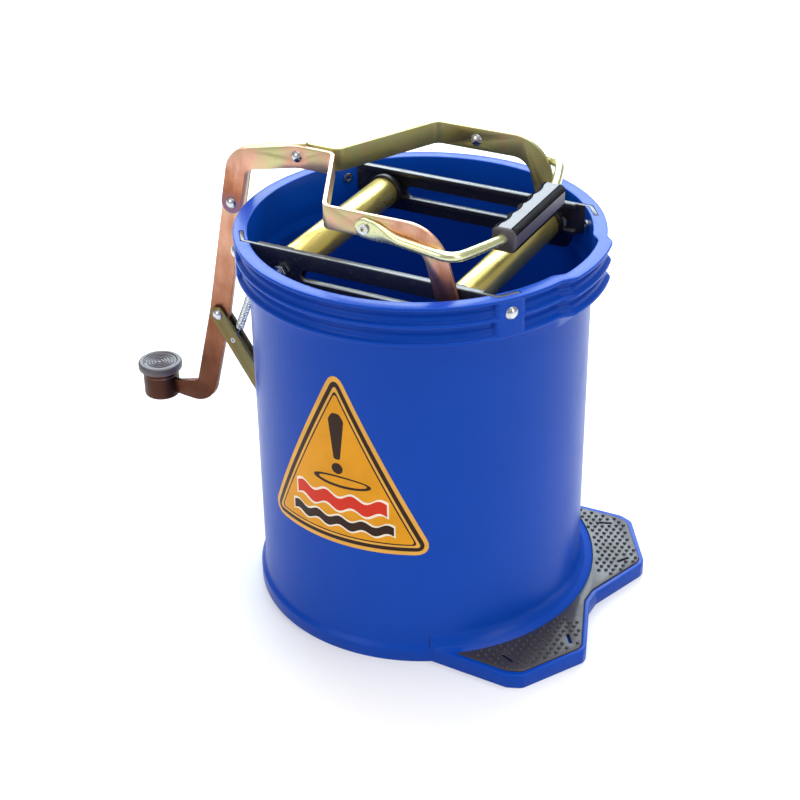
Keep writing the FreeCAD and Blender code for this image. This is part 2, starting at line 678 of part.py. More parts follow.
def make_bracket():
    """U-shaped bracket on the wall: a base plate and two ears for the link's hinge pin."""
    back = -body_r
    base = Part.makeBox(bracket_t, 2 * bracket_half_w, 2 * bracket_half_h,
                        V(back - bracket_t, -bracket_half_w, hinge_z - bracket_half_h))
    base = rounded(base, 5.0, lambda e: abs(e.BoundBox.XLength - bracket_t) < 0.01 and e.Length < 5)
    ear = slab_xz([(hinge_x - 8, hinge_z - 8, 7.5), (back - 1, hinge_z - 12, 0), (back - 1, hinge_z + 12, 0),
                   (hinge_x - 8, hinge_z + 8, 7.5)], ear_in, ear_in + bracket_t)
    pin = rod(V(hinge_x, -30, hinge_z), V(hinge_x, 30, hinge_z), rivet_r)
    heights = [hinge_z - bracket_rivet_dz, hinge_z + bracket_rivet_dz]
    rivets = [rod(V(back - 9, 0, z), V(back + 9, 0, z), wall_rivet_r) for z in heights]
    body = base.fuse([ear, mirrored(ear)])
    return body.cut([pin] + rivets).removeSplitter()


def make_wall_rivets(heights, sheet_t):
    solids = []
    for z in heights:
        outer = -body_r - sheet_t
        shank = rod(V(outer, 0, z), V(-body_r + wall + 1.2, 0, z), wall_rivet_r)
        head = dome(V(outer, 0, z), V(-1, 0, 0), head_r - 1.4, 1.8)
        tail = rod(V(-body_r + wall + 0.1, 0, z), V(-body_r + wall + 1.8, 0, z), rivet_r + 0.8)
        solids.append(shank.fuse([head, tail]).removeSplitter())
    return Part.Compound(solids)


def make_anchor():
    """Small folded tab under the band: its ear takes the spring's upper hook."""
    back = -body_r
    base = Part.makeBox(anchor_t, 16.0, 26.0, V(back - anchor_t, -8.0, anchor_z - 8.0))
    half_t = bracket_t / 2
    ear_low = V(anchor_x, -half_t, anchor_z - anchor_ear_r)
    ear = Part.makeBox(back - anchor_x - 1, bracket_t, 2 * anchor_ear_r, ear_low)
    ear = ear.fuse(rod(V(anchor_x, -half_t, anchor_z), V(anchor_x, half_t, anchor_z), anchor_ear_r))
    hole = rod(V(anchor_x, -9, anchor_z), V(anchor_x, 9, anchor_z), anchor_hole_r)
    rivet_z = anchor_z + anchor_rivet_dz
    rivet = rod(V(back - 9, 0, rivet_z), V(back + 9, 0, rivet_z), wall_rivet_r)
    return base.fuse(ear).cut([hole, rivet]).removeSplitter()


def spring_direction():
    return V(spring_pin_x - anchor_x, 0, spring_pin_z - anchor_z).normalize()


def spring_ends():
    """Top and bottom of the coil itself, inside the two hooks."""
    d = spring_direction()
    top = V(anchor_x, 0, anchor_z) + d * (2 * hook_r + 0.4)
    low = V(spring_pin_x, 0, spring_pin_z) - d * (lower_hook_r + lower_neck)
    return top, low


def make_spring():
    """Coil as a plain tube, with its upper hook through the anchor's ear."""
    d = spring_direction()
    top, low = spring_ends()
    coil = rod(top, low, spring_r).cut(rod(top + d * 1.4, low, spring_r - 2 * wire_r))
    eye = ring(V(anchor_x, 0, anchor_z) + d * hook_r, d.cross(V(0, 1, 0)), hook_r, wire_r)
    neck = rod(V(anchor_x, 0, anchor_z) + d * (2 * hook_r), top + d * 0.8, wire_r)
    return coil.fuse([eye, neck]).removeSplitter()


def make_lower_hook():
    """Lower hook of the spring: a round eye about the link's cross pin and a plug in the coil."""
    d = spring_direction()
    low = spring_ends()[1]
    pin = V(spring_pin_x, 0, spring_pin_z)
    eye = ring(pin, V(0, 1, 0), lower_hook_r, wire_r)
    neck = rod(pin - d * lower_hook_r, low, wire_r)
    plug = rod(low, low - d * 6.0, spring_r - 2 * wire_r - clear)
    return eye.fuse([neck, plug]).removeSplitter()


# ---- carrying handle ----------------------------------------------------------------
def leg_height(x):
    """Height of a handle leg's centre line at x."""
    slope = (bail_corner_z - handle_z) / (bail_corner_x - handle_x)
    return handle_z + slope * (x - handle_x)


def grip_entry():
    """Where the leg on the +Y side enters the grip."""
    return V(grip_x + 2.0, grip_len / 2 - 4.0, grip_z + 0.4)


def eye_section(x, half_h, y_in, y_out, corner_r):
    """Upright rounded rectangle across a handle leg at x."""
    z = leg_height(x)
    points = [(-half_h, y_in, corner_r), (-half_h, y_out, corner_r),
              (half_h, y_out, corner_r), (half_h, y_in, corner_r)]
    return outline(points, lambda u, v: V(x, v, z + u))


def bend_at(corner, before, after):
    """Start, middle and end of the rod's bend at a corner between two points of its path."""
    to_before = (before - corner).normalize()
    to_after = (after - corner).normalize()
    half = math.acos(to_before.dot(to_after)) / 2
    back = bail_bend_r / math.tan(half)
    bisect = (to_before + to_after).normalize()
    middle = corner + bisect * (bail_bend_r / math.sin(half) - bail_bend_r)
    return corner + to_before * back, middle, corner + to_after * back


def make_bail_leg():
    """Half of the handle's rod on the +Y side, from its flattened eye to the middle of the grip."""
    start_x = handle_x + 2 * eye_r
    start = V(start_x, bail_y, leg_height(start_x))
    corner = V(bail_corner_x, bail_y, bail_corner_z)
    entry = grip_entry()
    end = V(entry.x, 0, entry.z)
    first, second = bend_at(corner, start, entry), bend_at(entry, corner, end)
    path = Part.Wire([Part.LineSegment(start, first[0]).toShape(), Part.Arc(*first).toShape(),
                      Part.LineSegment(first[2], second[0]).toShape(), Part.Arc(*second).toShape(),
                      Part.LineSegment(second[2], end).toShape()])
    section = Part.Wire(Part.Circle(start, (start - corner).normalize(), bail_r).toShape())
    return path.makePipeShell([section], True, False)


def make_bail():
    """Handle rod with a flattened eye at each end, and its straight core inside the grip."""
    start_x = handle_x + 2 * eye_r
    flat_x = start_x - 6.0
    neck_half = eye_r * 0.86
    eye = rod(V(handle_x, eye_in, handle_z), V(handle_x, eye_out, handle_z), eye_r)
    neck_path = [(handle_x, handle_z, 0), (flat_x, leg_height(flat_x), 0)]
    neck = slab_xz(strip(neck_path, 2 * neck_half), eye_in, eye_out)
    flat_end = eye_section(flat_x, neck_half, eye_in, eye_out, 0.4)
    rod_end = eye_section(start_x + 3, bail_r, bail_y - bail_r, bail_y + bail_r, 3.0)
    blend = Part.makeLoft([flat_end, rod_end], True, True)
    hole = rod(V(handle_x, plate_in, handle_z), V(handle_x, 2 * plate_y, handle_z), rivet_r + running)
    side = eye.fuse([neck, blend]).fuse(make_bail_leg()).cut(hole)
    return side.fuse(mirrored(side))


def make_grip():
    half, w, h = grip_len / 2, grip_w / 2, grip_h / 2
    body = Part.makeBox(grip_w, grip_len, grip_h, V(grip_x - w, -half, grip_z - h))
    body = rounded(body, 4.0, lambda e: e.BoundBox.YLength > grip_len - 1)
    body = rounded(body, 1.5, lambda e: e.BoundBox.YLength < 0.01)
    pitch = grip_len * 0.82 / finger_waves
    cutter_r = (pitch * pitch / 4 + finger_depth * finger_depth) / (2 * finger_depth)
    cutter_x = grip_x - w + finger_depth - cutter_r
    scoops = []
    for i in range(finger_waves):
        y = (i - (finger_waves - 1) / 2) * pitch
        scoops.append(Part.makeCylinder(cutter_r, grip_h * 2, V(cutter_x, y, grip_z - grip_h)))
    leg = make_bail_leg()
    return body.cut(scoops).cut([leg, mirrored(leg)]).removeSplitter()


def make_handle_rivets():
    solids = []
    outer = eye_out + clear
    for side in (-1, 1):
        seat, far = V(handle_x, side * strap_in, handle_z), V(handle_x, side * outer, handle_z)
        out = V(0, side, 0)
        shank = rod(seat, far + out * 1.6, rivet_r)
        head = dome(seat, -out, head_r, head_t)
        tail = rod(far, far + out * 1.6, rivet_r + 1.2)
        bore = rod(far - out * 1.5, far + out * 3, rivet_r - 1.0)
        solids.append(shank.fuse([head, tail]).cut(bore).removeSplitter())
    return Part.Compound(solids)


# ---- assembly -----------------------------------------------------------------------
parts["bucket"] = make_bucket()
parts["foot_pad"] = make_foot_pad()
parts["caution_label"] = make_label()
parts["side_plate_front"] = make_side_plate()
parts["side_plate_rear"] = mirrored(parts["side_plate_front"])
parts["rim_rivets"] = make_rim_rivets()
axle_end = plate_out + nut_t + axle_past_nut
parts["fixed_axle"] = rod(V(fixed_x, -axle_end, roller_z), V(fixed_x, axle_end, roller_z), axle_r)
nuts = [hex_nut(fixed_x, plate_out, plate_out + nut_t), hex_nut(fixed_x, -plate_out - nut_t, -plate_out)]
parts["fixed_axle_nuts"] = Part.Compound(nuts)
for name, x, end_y in (("fixed", fixed_x, plate_in - plug_gap),
                       ("moving", moving_x, block_in - plug_gap)):
    parts[name + "_roller_tube"] = make_tube(x)
    parts[name + "_roller_plug_front"] = make_plug(x, -1, end_y)
    parts[name + "_roller_plug_rear"] = make_plug(x, 1, end_y)
parts["slide_block_front"] = make_slide_block()
parts["slide_block_rear"] = mirrored(parts["slide_block_front"])
parts["moving_axle"] = make_moving_axle()
parts["axle_washers"] = make_axle_washers()
parts["yoke_strap_front"] = make_strap()
parts["yoke_strap_rear"] = mirrored(parts["yoke_strap_front"])
parts["pedal_lever"] = make_lever()
yoke_places = [(hook_rivet_x, hook_rivet_z), (arch_rivet_x, arch_rivet_z)]
parts["yoke_rivets"] = make_through_rivets(yoke_places, lever_t / 2 + strap_t)
parts["pedal_cup"] = make_pedal_cup()
parts["pedal_cap"] = make_pedal_cap()
parts["handle_rivets"] = make_handle_rivets()
parts["link_cheek_front"] = make_link_cheek()
parts["link_cheek_rear"] = mirrored(parts["link_cheek_front"])
parts["link_rivet"] = make_through_rivets([(link_pin_x, link_pin_z)], cheek_out)
pin_ends = V(spring_pin_x, -cheek_out, spring_pin_z), V(spring_pin_x, cheek_out, spring_pin_z)
parts["spring_pin"] = rod(*pin_ends, spring_pin_r).cut(rod(*pin_ends, spring_pin_r - 0.8))
parts["hinge_bracket"] = make_bracket()
parts["hinge_pin"] = make_through_rivets([(hinge_x, hinge_z)], ear_in + bracket_t)
parts["bracket_rivets"] = make_wall_rivets([hinge_z - bracket_rivet_dz, hinge_z + bracket_rivet_dz], bracket_t)
parts["spring_anchor"] = make_anchor()
parts["anchor_rivet"] = make_wall_rivets([anchor_z + anchor_rivet_dz], anchor_t)
parts["return_spring"] = make_spring()
parts["spring_lower_hook"] = make_lower_hook()
parts["bail_handle"] = make_bail()
parts["bail_grip"] = make_grip()

os.makedirs("parts", exist_ok=True)
for name, shape in parts.items():
    if not shape.isValid():
        print("not valid:", name)
    shape.exportStep("parts/" + name + ".step")
    print("%-26s solids %d  volume %.0f" % (name, len(shape.Solids), shape.Volume))
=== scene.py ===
import bmesh
import bpy
import math
from mathutils import Matrix, Vector
from mathutils.bvhtree import BVHTree


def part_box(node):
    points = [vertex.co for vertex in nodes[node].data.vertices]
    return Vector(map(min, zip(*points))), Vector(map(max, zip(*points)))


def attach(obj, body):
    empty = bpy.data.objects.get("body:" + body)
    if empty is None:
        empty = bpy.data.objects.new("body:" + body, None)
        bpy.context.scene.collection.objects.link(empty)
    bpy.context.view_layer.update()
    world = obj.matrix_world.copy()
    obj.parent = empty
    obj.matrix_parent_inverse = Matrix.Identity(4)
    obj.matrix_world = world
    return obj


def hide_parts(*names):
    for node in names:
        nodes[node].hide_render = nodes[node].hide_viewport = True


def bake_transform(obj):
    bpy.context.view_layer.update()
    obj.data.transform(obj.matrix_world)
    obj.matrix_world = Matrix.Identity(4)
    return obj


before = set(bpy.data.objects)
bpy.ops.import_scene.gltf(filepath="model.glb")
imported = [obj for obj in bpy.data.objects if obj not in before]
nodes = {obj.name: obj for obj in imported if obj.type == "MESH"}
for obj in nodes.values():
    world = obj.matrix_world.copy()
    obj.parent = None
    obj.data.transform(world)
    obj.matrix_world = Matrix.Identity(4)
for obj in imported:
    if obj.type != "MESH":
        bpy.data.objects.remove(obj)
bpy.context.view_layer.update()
MM = 0.001
TURN = 2 * math.pi
X_AXIS, Y_AXIS, Z_AXIS = Vector((1, 0, 0)), Vector((0, 1, 0)), Vector((0, 0, 1))


# ---- node helpers -------------------------------------------------------------------
def add(tree, kind, inputs=None, **settings):
    """A shader node; inputs maps a socket's name or number to a value or to another node's output."""
    made = tree.nodes.new("ShaderNode" + kind)
    for key, value in settings.items():
        setattr(made, key, value)
    for key, value in (inputs or {}).items():
        if isinstance(value, bpy.types.NodeSocket):
            tree.links.new(value, made.inputs[key])
        else:
            made.inputs[key].default_value = value
    return made


def maths(tree, operation, a, b=0.0, clamp=False):
    return add(tree, "Math", {0: a, 1: b}, operation=operation, use_clamp=clamp).outputs[0]


def span(tree, value, low, high, to_low=0.0, to_high=1.0):
    inputs = {"Value": value, "From Min": low, "From Max": high, "To Min": to_low, "To Max": to_high}
    return add(tree, "MapRange", inputs).outputs["Result"]


def blend_colour(tree, mask, a, b, how="MIX"):
    mix = add(tree, "Mix", {0: mask, 6: a, 7: b}, data_type="RGBA", blend_type=how)
    return mix.outputs[2]


def ramp(tree, value, stops):
    made = add(tree, "ValToRGB", {0: value})
    elements = made.color_ramp.elements
    while len(elements) < len(stops):
        elements.new(0.5)
    for element, (place, colour) in zip(elements, stops):
        element.position = place
        element.color = colour
    return made.outputs[0]


def noise(tree, vector, scale, detail=2.0, rough=0.5):
    inputs = {"Vector": vector, "Scale": scale, "Detail": detail, "Roughness": rough}
    return add(tree, "TexNoise", inputs).outputs["Fac"]


def new_group(name, inputs, outputs):
    tree = bpy.data.node_groups.new(name, "ShaderNodeTree")
    for label, kind, value in inputs:
        socket = tree.interface.new_socket(label, in_out="INPUT", socket_type="NodeSocket" + kind)
        if value is not None:
            socket.default_value = value
    for label, kind in outputs:
        tree.interface.new_socket(label, in_out="OUTPUT", socket_type="NodeSocket" + kind)
    return tree, tree.nodes.new("NodeGroupInput"), tree.nodes.new("NodeGroupOutput")


def use(tree, group, inputs):
    return add(tree, "Group", inputs, node_tree=group).outputs


def rgb(red, green, blue):
    """Screen colour 0..255 as the linear colour that a shader takes."""
    parts = []
    for level in (red, green, blue):
        share = level / 255
        parts.append(share / 12.92 if share <= 0.04045 else ((share + 0.055) / 1.055) ** 2.4)
    return (*parts, 1.0)


# ---- shared finishes ----------------------------------------------------------------
def moulded_group():
    """Injection-moulded skin: slow colour drift, soft scuffs and a fine orange-peel height."""
    tree, given, out = new_group("moulded_skin", [("Vector", "Vector", None), ("Grain", "Float", 900.0)],
                                 [("Drift", "Float"), ("Scuff", "Float"), ("Height", "Float")])
    drift = noise(tree, given.outputs["Vector"], 7.0, 3.0)
    streaks = add(tree, "Mapping", {"Vector": given.outputs["Vector"], "Scale": (26.0, 26.0, 20.0)})
    scuff = span(tree, noise(tree, streaks.outputs[0], 1.6, 6.0, 0.62), 0.52, 0.74)
    peel = noise(tree, given.outputs["Vector"], given.outputs["Grain"], 2.0)
    tree.links.new(drift, out.inputs["Drift"])
    tree.links.new(scuff, out.inputs["Scuff"])
    tree.links.new(peel, out.inputs["Height"])
    return tree


def edge_group():
    """Softened edge normal, and a mask that is 1 on the edges that hands and tools touch; it lightens them as
    wear and as a painted highlight.
    """
    tree, given, out = new_group("edge_wear_and_highlight", [("Radius", "Float", 0.0006), ("Vector", "Vector", None)],
                                 [("Edge", "Float"), ("Normal", "Vector")])
    bevel = add(tree, "Bevel", {"Radius": given.outputs["Radius"]}, samples=6)
    true_normal = add(tree, "NewGeometry").outputs["Normal"]
    dot = add(tree, "VectorMath", {0: bevel.outputs[0], 1: true_normal}, operation="DOT_PRODUCT")
    turned = span(tree, dot.outputs["Value"], 0.995, 0.86)
    broken = span(tree, noise(tree, given.outputs["Vector"], 160.0, 4.0), 0.35, 0.6)
    tree.links.new(maths(tree, "MULTIPLY", turned, broken), out.inputs["Edge"])
    tree.links.new(bevel.outputs[0], out.inputs["Normal"])
    return tree


def bloom_group():
    """Yellow chromate film on zinc: straw through olive and pink to copper and violet as it thickens."""
    tree, given, out = new_group("chromate_bloom", [("Vector", "Vector", None), ("Thickness", "Float", 0.3),
                                                    ("Spread", "Float", 0.25)],
                                 [("Color", "Color"), ("Patch", "Float"), ("Height", "Float")])
    slow = noise(tree, given.outputs["Vector"], 24.0, 4.0, 0.55)
    drawn = add(tree, "Mapping", {"Vector": given.outputs["Vector"], "Scale": (90.0, 90.0, 14.0)})
    streak = noise(tree, drawn.outputs[0], 1.0, 3.0, 0.6)
    mixed = maths(tree, "ADD", maths(tree, "MULTIPLY", slow, 0.7), maths(tree, "MULTIPLY", streak, 0.3))
    centred = maths(tree, "MULTIPLY", maths(tree, "SUBTRACT", mixed, 0.5), given.outputs["Spread"])
    depth = maths(tree, "ADD", given.outputs["Thickness"], maths(tree, "MULTIPLY", centred, 3.0), clamp=True)
    film = ramp(tree, depth, [(0.0, rgb(222, 222, 196)), (0.16, rgb(226, 212, 140)),
                              (0.32, rgb(205, 186, 120)), (0.44, rgb(194, 192, 142)),
                              (0.56, rgb(224, 172, 150)), (0.70, rgb(190, 128, 98)),
                              (0.84, rgb(150, 92, 66)), (1.0, rgb(104, 88, 128))])
    fine = noise(tree, given.outputs["Vector"], 700.0, 3.0)
    tree.links.new(film, out.inputs["Color"])
    tree.links.new(slow, out.inputs["Patch"])
    tree.links.new(fine, out.inputs["Height"])
    return tree


def scratch_group():
    """Fine crossing scratches as a thin mask."""
    tree, given, out = new_group("fine_scratches", [("Vector", "Vector", None), ("Amount", "Float", 0.5)],
                                 [("Mask", "Float")])
    masks = []
    for turn in (0.4, 1.9):
        laid = add(tree, "Mapping", {"Vector": given.outputs["Vector"], "Rotation": (turn, 0.3, turn),
                                     "Scale": (420.0, 12.0, 420.0)})
        masks.append(span(tree, noise(tree, laid.outputs[0], 1.0, 2.0), 0.64, 0.72))
    both = maths(tree, "MAXIMUM", masks[0], masks[1])
    tree.links.new(maths(tree, "MULTIPLY", both, given.outputs["Amount"]), out.inputs["Mask"])
    return tree


MOULDED, EDGE, BLOOM, SCRATCHES = moulded_group(), edge_group(), bloom_group(), scratch_group()


# ---- materials ----------------------------------------------------------------------
def new_material(name, **shader_values):
    made = bpy.data.materials.new(name)
    made.use_nodes = True
    tree = made.node_tree
    shader = tree.nodes["Principled BSDF"]
    for key, value in shader_values.items():
        shader.inputs[key.replace("_", " ")].default_value = value
    place = add(tree, "TexCoord").outputs["Object"]
    return made, tree, shader, place


def finish(tree, shader, colour=None, rough=None, metal=None, height=None, strength=0.1, depth=0.0002,
           normal=None):
    """Joins worked-out colour, roughness and height to the shader."""
    for key, socket in (("Base Color", colour), ("Roughness", rough), ("Metallic", metal)):
        if socket is not None:
            tree.links.new(socket, shader.inputs[key])
    if height is not None:
        bump = add(tree, "Bump", {"Height": height, "Strength": strength, "Distance": depth})
        if normal is not None:
            tree.links.new(normal, bump.inputs["Normal"])
        tree.links.new(bump.outputs[0], shader.inputs["Normal"])
    elif normal is not None:
        tree.links.new(normal, shader.inputs["Normal"])


def plastic(name, deep, light, rough=(0.26, 0.42), grain=900.0, edge_radius=0.0008, edge_light=0.35, coat=0.0,
            peel=0.12, gloss=0.35):
    made, tree, shader, place = new_material(name, Coat_Weight=coat, Coat_Roughness=0.25,
                                             Specular_IOR_Level=gloss)
    skin = use(tree, MOULDED, {"Vector": place, "Grain": grain})
    edge = use(tree, EDGE, {"Radius": edge_radius, "Vector": place})
    colour = blend_colour(tree, skin["Drift"], deep, light)
    # Edges lightened by edge_light: partly wear, partly a painted highlight on rims, fins and borders.
    edge_wear_and_highlight_colour = tuple(min(1.6 * c + 0.05, 1.0) for c in light[:3]) + (1.0,)
    colour = blend_colour(tree, maths(tree, "MULTIPLY", edge["Edge"], edge_light), colour, edge_wear_and_highlight_colour)
    shine = span(tree, skin["Scuff"], 0.0, 1.0, *rough)
    finish(tree, shader, colour, shine, height=skin["Height"], strength=peel, depth=0.0003,
           normal=edge["Normal"])
    return made


def zinc(name, thickness, spread, rough=(0.24, 0.42), fall=None, tint=(1.0, 1.0, 1.0, 1.0), seam=None,
         shade=None):
    """Chromated zinc plate.  fall = (axis, from, to, extra thickness) deepens the film along an axis,
    and shade = (from, to, colour) paints shade on it, darker downwards."""
    made, tree, shader, place = new_material(name, Specular_IOR_Level=0.6)
    film = thickness
    if fall:
        axis, start, end, extra = fall
        parts = add(tree, "SeparateXYZ", {0: place})
        film = maths(tree, "ADD", span(tree, parts.outputs[axis], start, end, 0.0, extra), thickness)
    bloom = use(tree, BLOOM, {"Vector": place, "Thickness": film, "Spread": spread})
    edge = use(tree, EDGE, {"Radius": 0.0006, "Vector": place})
    marks = use(tree, SCRATCHES, {"Vector": place, "Amount": 0.5})
    colour = blend_colour(tree, 1.0, bloom["Color"], tint, "MULTIPLY")
    # Painted shade: the colour is multiplied darker towards the bottom of the part.
    if shade:
        start, end, dark = shade
        height = add(tree, "SeparateXYZ", {0: place}).outputs[2]
        colour = blend_colour(tree, span(tree, height, start, end), colour, dark, "MULTIPLY")
    # Pale edges: rubbed film and a painted highlight on the lit edges.
    colour = blend_colour(tree, maths(tree, "MULTIPLY", edge["Edge"], 0.75), colour, rgb(232, 226, 206))
    shine = span(tree, bloom["Patch"], 0.3, 0.7, *rough)
    shine = maths(tree, "ADD", shine, maths(tree, "MULTIPLY", marks["Mask"], 0.2))
    metal = span(tree, bloom["Patch"], 0.2, 0.8, 0.92, 0.8)
    if seam:
        centre, seam_angle = seam
        colour, shine = seam_line(tree, place, centre, colour, shine, seam_angle)
    finish(tree, shader, colour, shine, metal, bloom["Height"], 0.12, 0.0001, edge["Normal"])
    return made


def seam_line(tree, place, centre, colour, shine, angle):
    """Thin dark weld line along a roller tube, whose axis is parallel to Y."""
    parts = add(tree, "SeparateXYZ", {0: place})
    x = maths(tree, "SUBTRACT", parts.outputs[0], centre.x)
    z = maths(tree, "SUBTRACT", parts.outputs[2], centre.z)
    turn = maths(tree, "ARCTAN2", z, x)
    off = maths(tree, "ABSOLUTE", maths(tree, "SUBTRACT", turn, angle))
    wobble = maths(tree, "MULTIPLY", noise(tree, place, 60.0), 0.01)
    line = span(tree, maths(tree, "ADD", off, wobble), 0.03, 0.06, 1.0, 0.0)
    colour = blend_colour(tree, maths(tree, "MULTIPLY", line, 0.4), colour, rgb(140, 126, 70))
    return colour, maths(tree, "ADD", shine, maths(tree, "MULTIPLY", line, 0.1))


def bright_metal(name, colour, rough=(0.16, 0.34)):
    made, tree, shader, place = new_material(name, Metallic=1.0)
    marks = use(tree, SCRATCHES, {"Vector": place, "Amount": 0.6})
    edge = use(tree, EDGE, {"Radius": 0.0003, "Vector": place})
    cloud = noise(tree, place, 120.0, 4.0)
    tone = blend_colour(tree, cloud, colour, tuple(0.82 * c for c in colour[:3]) + (1.0,))
    shine = maths(tree, "ADD", span(tree, cloud, 0.3, 0.7, *rough),
                  maths(tree, "MULTIPLY", marks["Mask"], 0.2))
    finish(tree, shader, tone, shine, height=noise(tree, place, 900.0), strength=0.1, depth=0.0001,
           normal=edge["Normal"])
    return made


def painted_steel(name):
    """Black stove enamel with greyer edges, painted as wear and as a highlight."""
    made, tree, shader, place = new_material(name, Specular_IOR_Level=0.5, Coat_Weight=0.15,
                                             Coat_Roughness=0.3)
    skin = use(tree, MOULDED, {"Vector": place, "Grain": 500.0})
    edge = use(tree, EDGE, {"Radius": 0.0009, "Vector": place})
    marks = use(tree, SCRATCHES, {"Vector": place, "Amount": 0.6})
    colour = blend_colour(tree, skin["Drift"], rgb(22, 22, 26), rgb(38, 38, 42))
    # Greyer edges: wear and a painted highlight on the lit edges.
    colour = blend_colour(tree, maths(tree, "MULTIPLY", edge["Edge"], 0.55), colour, rgb(128, 128, 132))
    colour = blend_colour(tree, maths(tree, "MULTIPLY", marks["Mask"], 0.35), colour, rgb(110, 110, 114))
    shine = span(tree, skin["Scuff"], 0.0, 1.0, 0.3, 0.5)
    finish(tree, shader, colour, shine, height=skin["Height"], strength=0.18, depth=0.0003,
           normal=edge["Normal"])
    return made


def printed(name, colour, rough=0.34):
    """Printed vinyl film: faint mottling and a satin face."""
    made, tree, shader, place = new_material(name, Specular_IOR_Level=0.15)
    cloud = noise(tree, place, 40.0, 5.0)
    darker = tuple(0.86 * c for c in colour[:3]) + (1.0,)
    shade = blend_colour(tree, span(tree, cloud, 0.3, 0.75), colour, darker)
    shine = span(tree, cloud, 0.3, 0.7, rough - 0.06, rough + 0.1)
    finish(tree, shader, shade, shine, height=noise(tree, place, 1500.0), strength=0.05, depth=0.0001)
    return made


tube_box = {side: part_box(side + "_roller_tube") for side in ("fixed", "moving")}
tube_centre = {side: (box[0] + box[1]) / 2 for side, box in tube_box.items()}

# edge_light 0.6 paints a strong highlight on the rim's edges and fins.
BLUE = plastic("bucket_blue", rgb(2, 58, 154), rgb(5, 68, 172), rough=(0.3, 0.36), gloss=0.13, edge_light=0.6)
RUBBER = plastic("tread_rubber", rgb(46, 42, 44), rgb(62, 57, 60), rough=(0.36, 0.5), grain=1500.0,
                 edge_light=0.4,
                 peel=0.2, gloss=0.5)
CAP_RUBBER = plastic("cap_rubber", rgb(70, 63, 68), rgb(84, 76, 82), rough=(0.4, 0.5), grain=1500.0,
                     edge_light=0.3,
                     peel=0.2, gloss=0.5)
GRIP_RUBBER = plastic("grip_vinyl", rgb(66, 62, 68), rgb(80, 75, 82), rough=(0.36, 0.46), grain=1200.0,
                      edge_light=0.18, peel=0.15, gloss=0.5)
PLUG_BLACK = plastic("plug_black", rgb(16, 16, 18), rgb(28, 28, 30), rough=(0.34, 0.5), edge_light=0.15)
NYLON = plastic("slide_nylon", rgb(214, 210, 196), rgb(228, 226, 214), rough=(0.35, 0.5), edge_light=0.1)
PAINTED = painted_steel("enamelled_steel")
STEEL = bright_metal("bright_zinc", rgb(206, 208, 212))
SPRING_STEEL = bright_metal("spring_wire", rgb(200, 202, 206), rough=(0.2, 0.36))
FRONT_ZINC = zinc("front_strap_chromate", 0.5, 0.32, fall=(2, 0.352, 0.308, 0.56),
                  tint=(1.0, 0.97, 0.93, 1.0))
REAR_ZINC = zinc("rear_strap_chromate", 0.4, 0.26, rough=(0.3, 0.5), tint=(0.66, 0.68, 0.6, 1.0))
# shade paints shade on the lever, darkening its lower end and bend almost to black.
LEVER_ZINC = zinc("lever_chromate", 0.47, 0.2, rough=(0.3, 0.45), fall=(2, 0.36, 0.22, 0.26),
                  tint=(0.95, 0.92, 0.84, 1.0), shade=(0.31, 0.12, (0.17, 0.12, 0.09, 1.0)))
LINK_ZINC = zinc("link_chromate", 0.36, 0.24, rough=(0.3, 0.5), tint=(0.27, 0.24, 0.2, 1.0))
BAIL_ZINC = zinc("handle_chromate", 0.05, 0.12, rough=(0.16, 0.3), tint=(0.94, 1.0, 0.88, 1.0))
CUP_ZINC = zinc("cup_chromate", 0.7, 0.3, rough=(0.32, 0.5), tint=(0.12, 0.09, 0.085, 1.0))
TUBE_ZINC = {side: zinc(side + "_roller_chromate", 0.2, 0.1, rough=(0.26, 0.34),
                        seam=(tube_centre[side], 1.15),
                        tint=(1.0, 0.95, 0.7, 1.0)) for side in tube_box}
LABEL_ORANGE = printed("label_orange", rgb(222, 150, 22))
LABEL_EDGE = printed("label_margin", rgb(224, 165, 70))
LABEL_DARK = printed("label_dark", rgb(48, 26, 14))
LABEL_RED = printed("label_red", rgb(206, 48, 24))
LABEL_WHITE = printed("label_white", rgb(240, 226, 206))

FINISHES = {
    "bucket": BLUE, "foot_pad": RUBBER, "caution_label": LABEL_ORANGE, "side_plate_front": PAINTED,
    "side_plate_rear": PAINTED, "rim_rivets": STEEL, "fixed_axle": STEEL, "fixed_axle_nuts": STEEL,
    "hinge_bracket": LINK_ZINC, "hinge_pin": STEEL, "bracket_rivets": STEEL, "spring_anchor": LINK_ZINC,
    "anchor_rivet": STEEL, "fixed_roller_tube": TUBE_ZINC["fixed"], "moving_roller_tube": TUBE_ZINC["moving"],
    "fixed_roller_plug_front": PLUG_BLACK, "fixed_roller_plug_rear": PLUG_BLACK,
    "moving_roller_plug_front": PLUG_BLACK, "moving_roller_plug_rear": PLUG_BLACK, "slide_block_front": NYLON,
    "slide_block_rear": NYLON, "moving_axle": STEEL, "axle_washers": STEEL, "yoke_strap_front": FRONT_ZINC,
    "yoke_strap_rear": REAR_ZINC, "pedal_lever": LEVER_ZINC, "yoke_rivets": STEEL, "pedal_cup": CUP_ZINC,
    "pedal_cap": CAP_RUBBER, "handle_rivets": STEEL, "link_cheek_front": LINK_ZINC,
    "link_cheek_rear": LINK_ZINC,
    "link_rivet": STEEL, "spring_pin": STEEL, "return_spring": SPRING_STEEL,
    "spring_lower_hook": SPRING_STEEL,
    "bail_handle": BAIL_ZINC, "bail_grip": GRIP_RUBBER,
}
for node, finish_of in FINISHES.items():
    nodes[node].data.materials.clear()
    nodes[node].data.materials.append(finish_of)


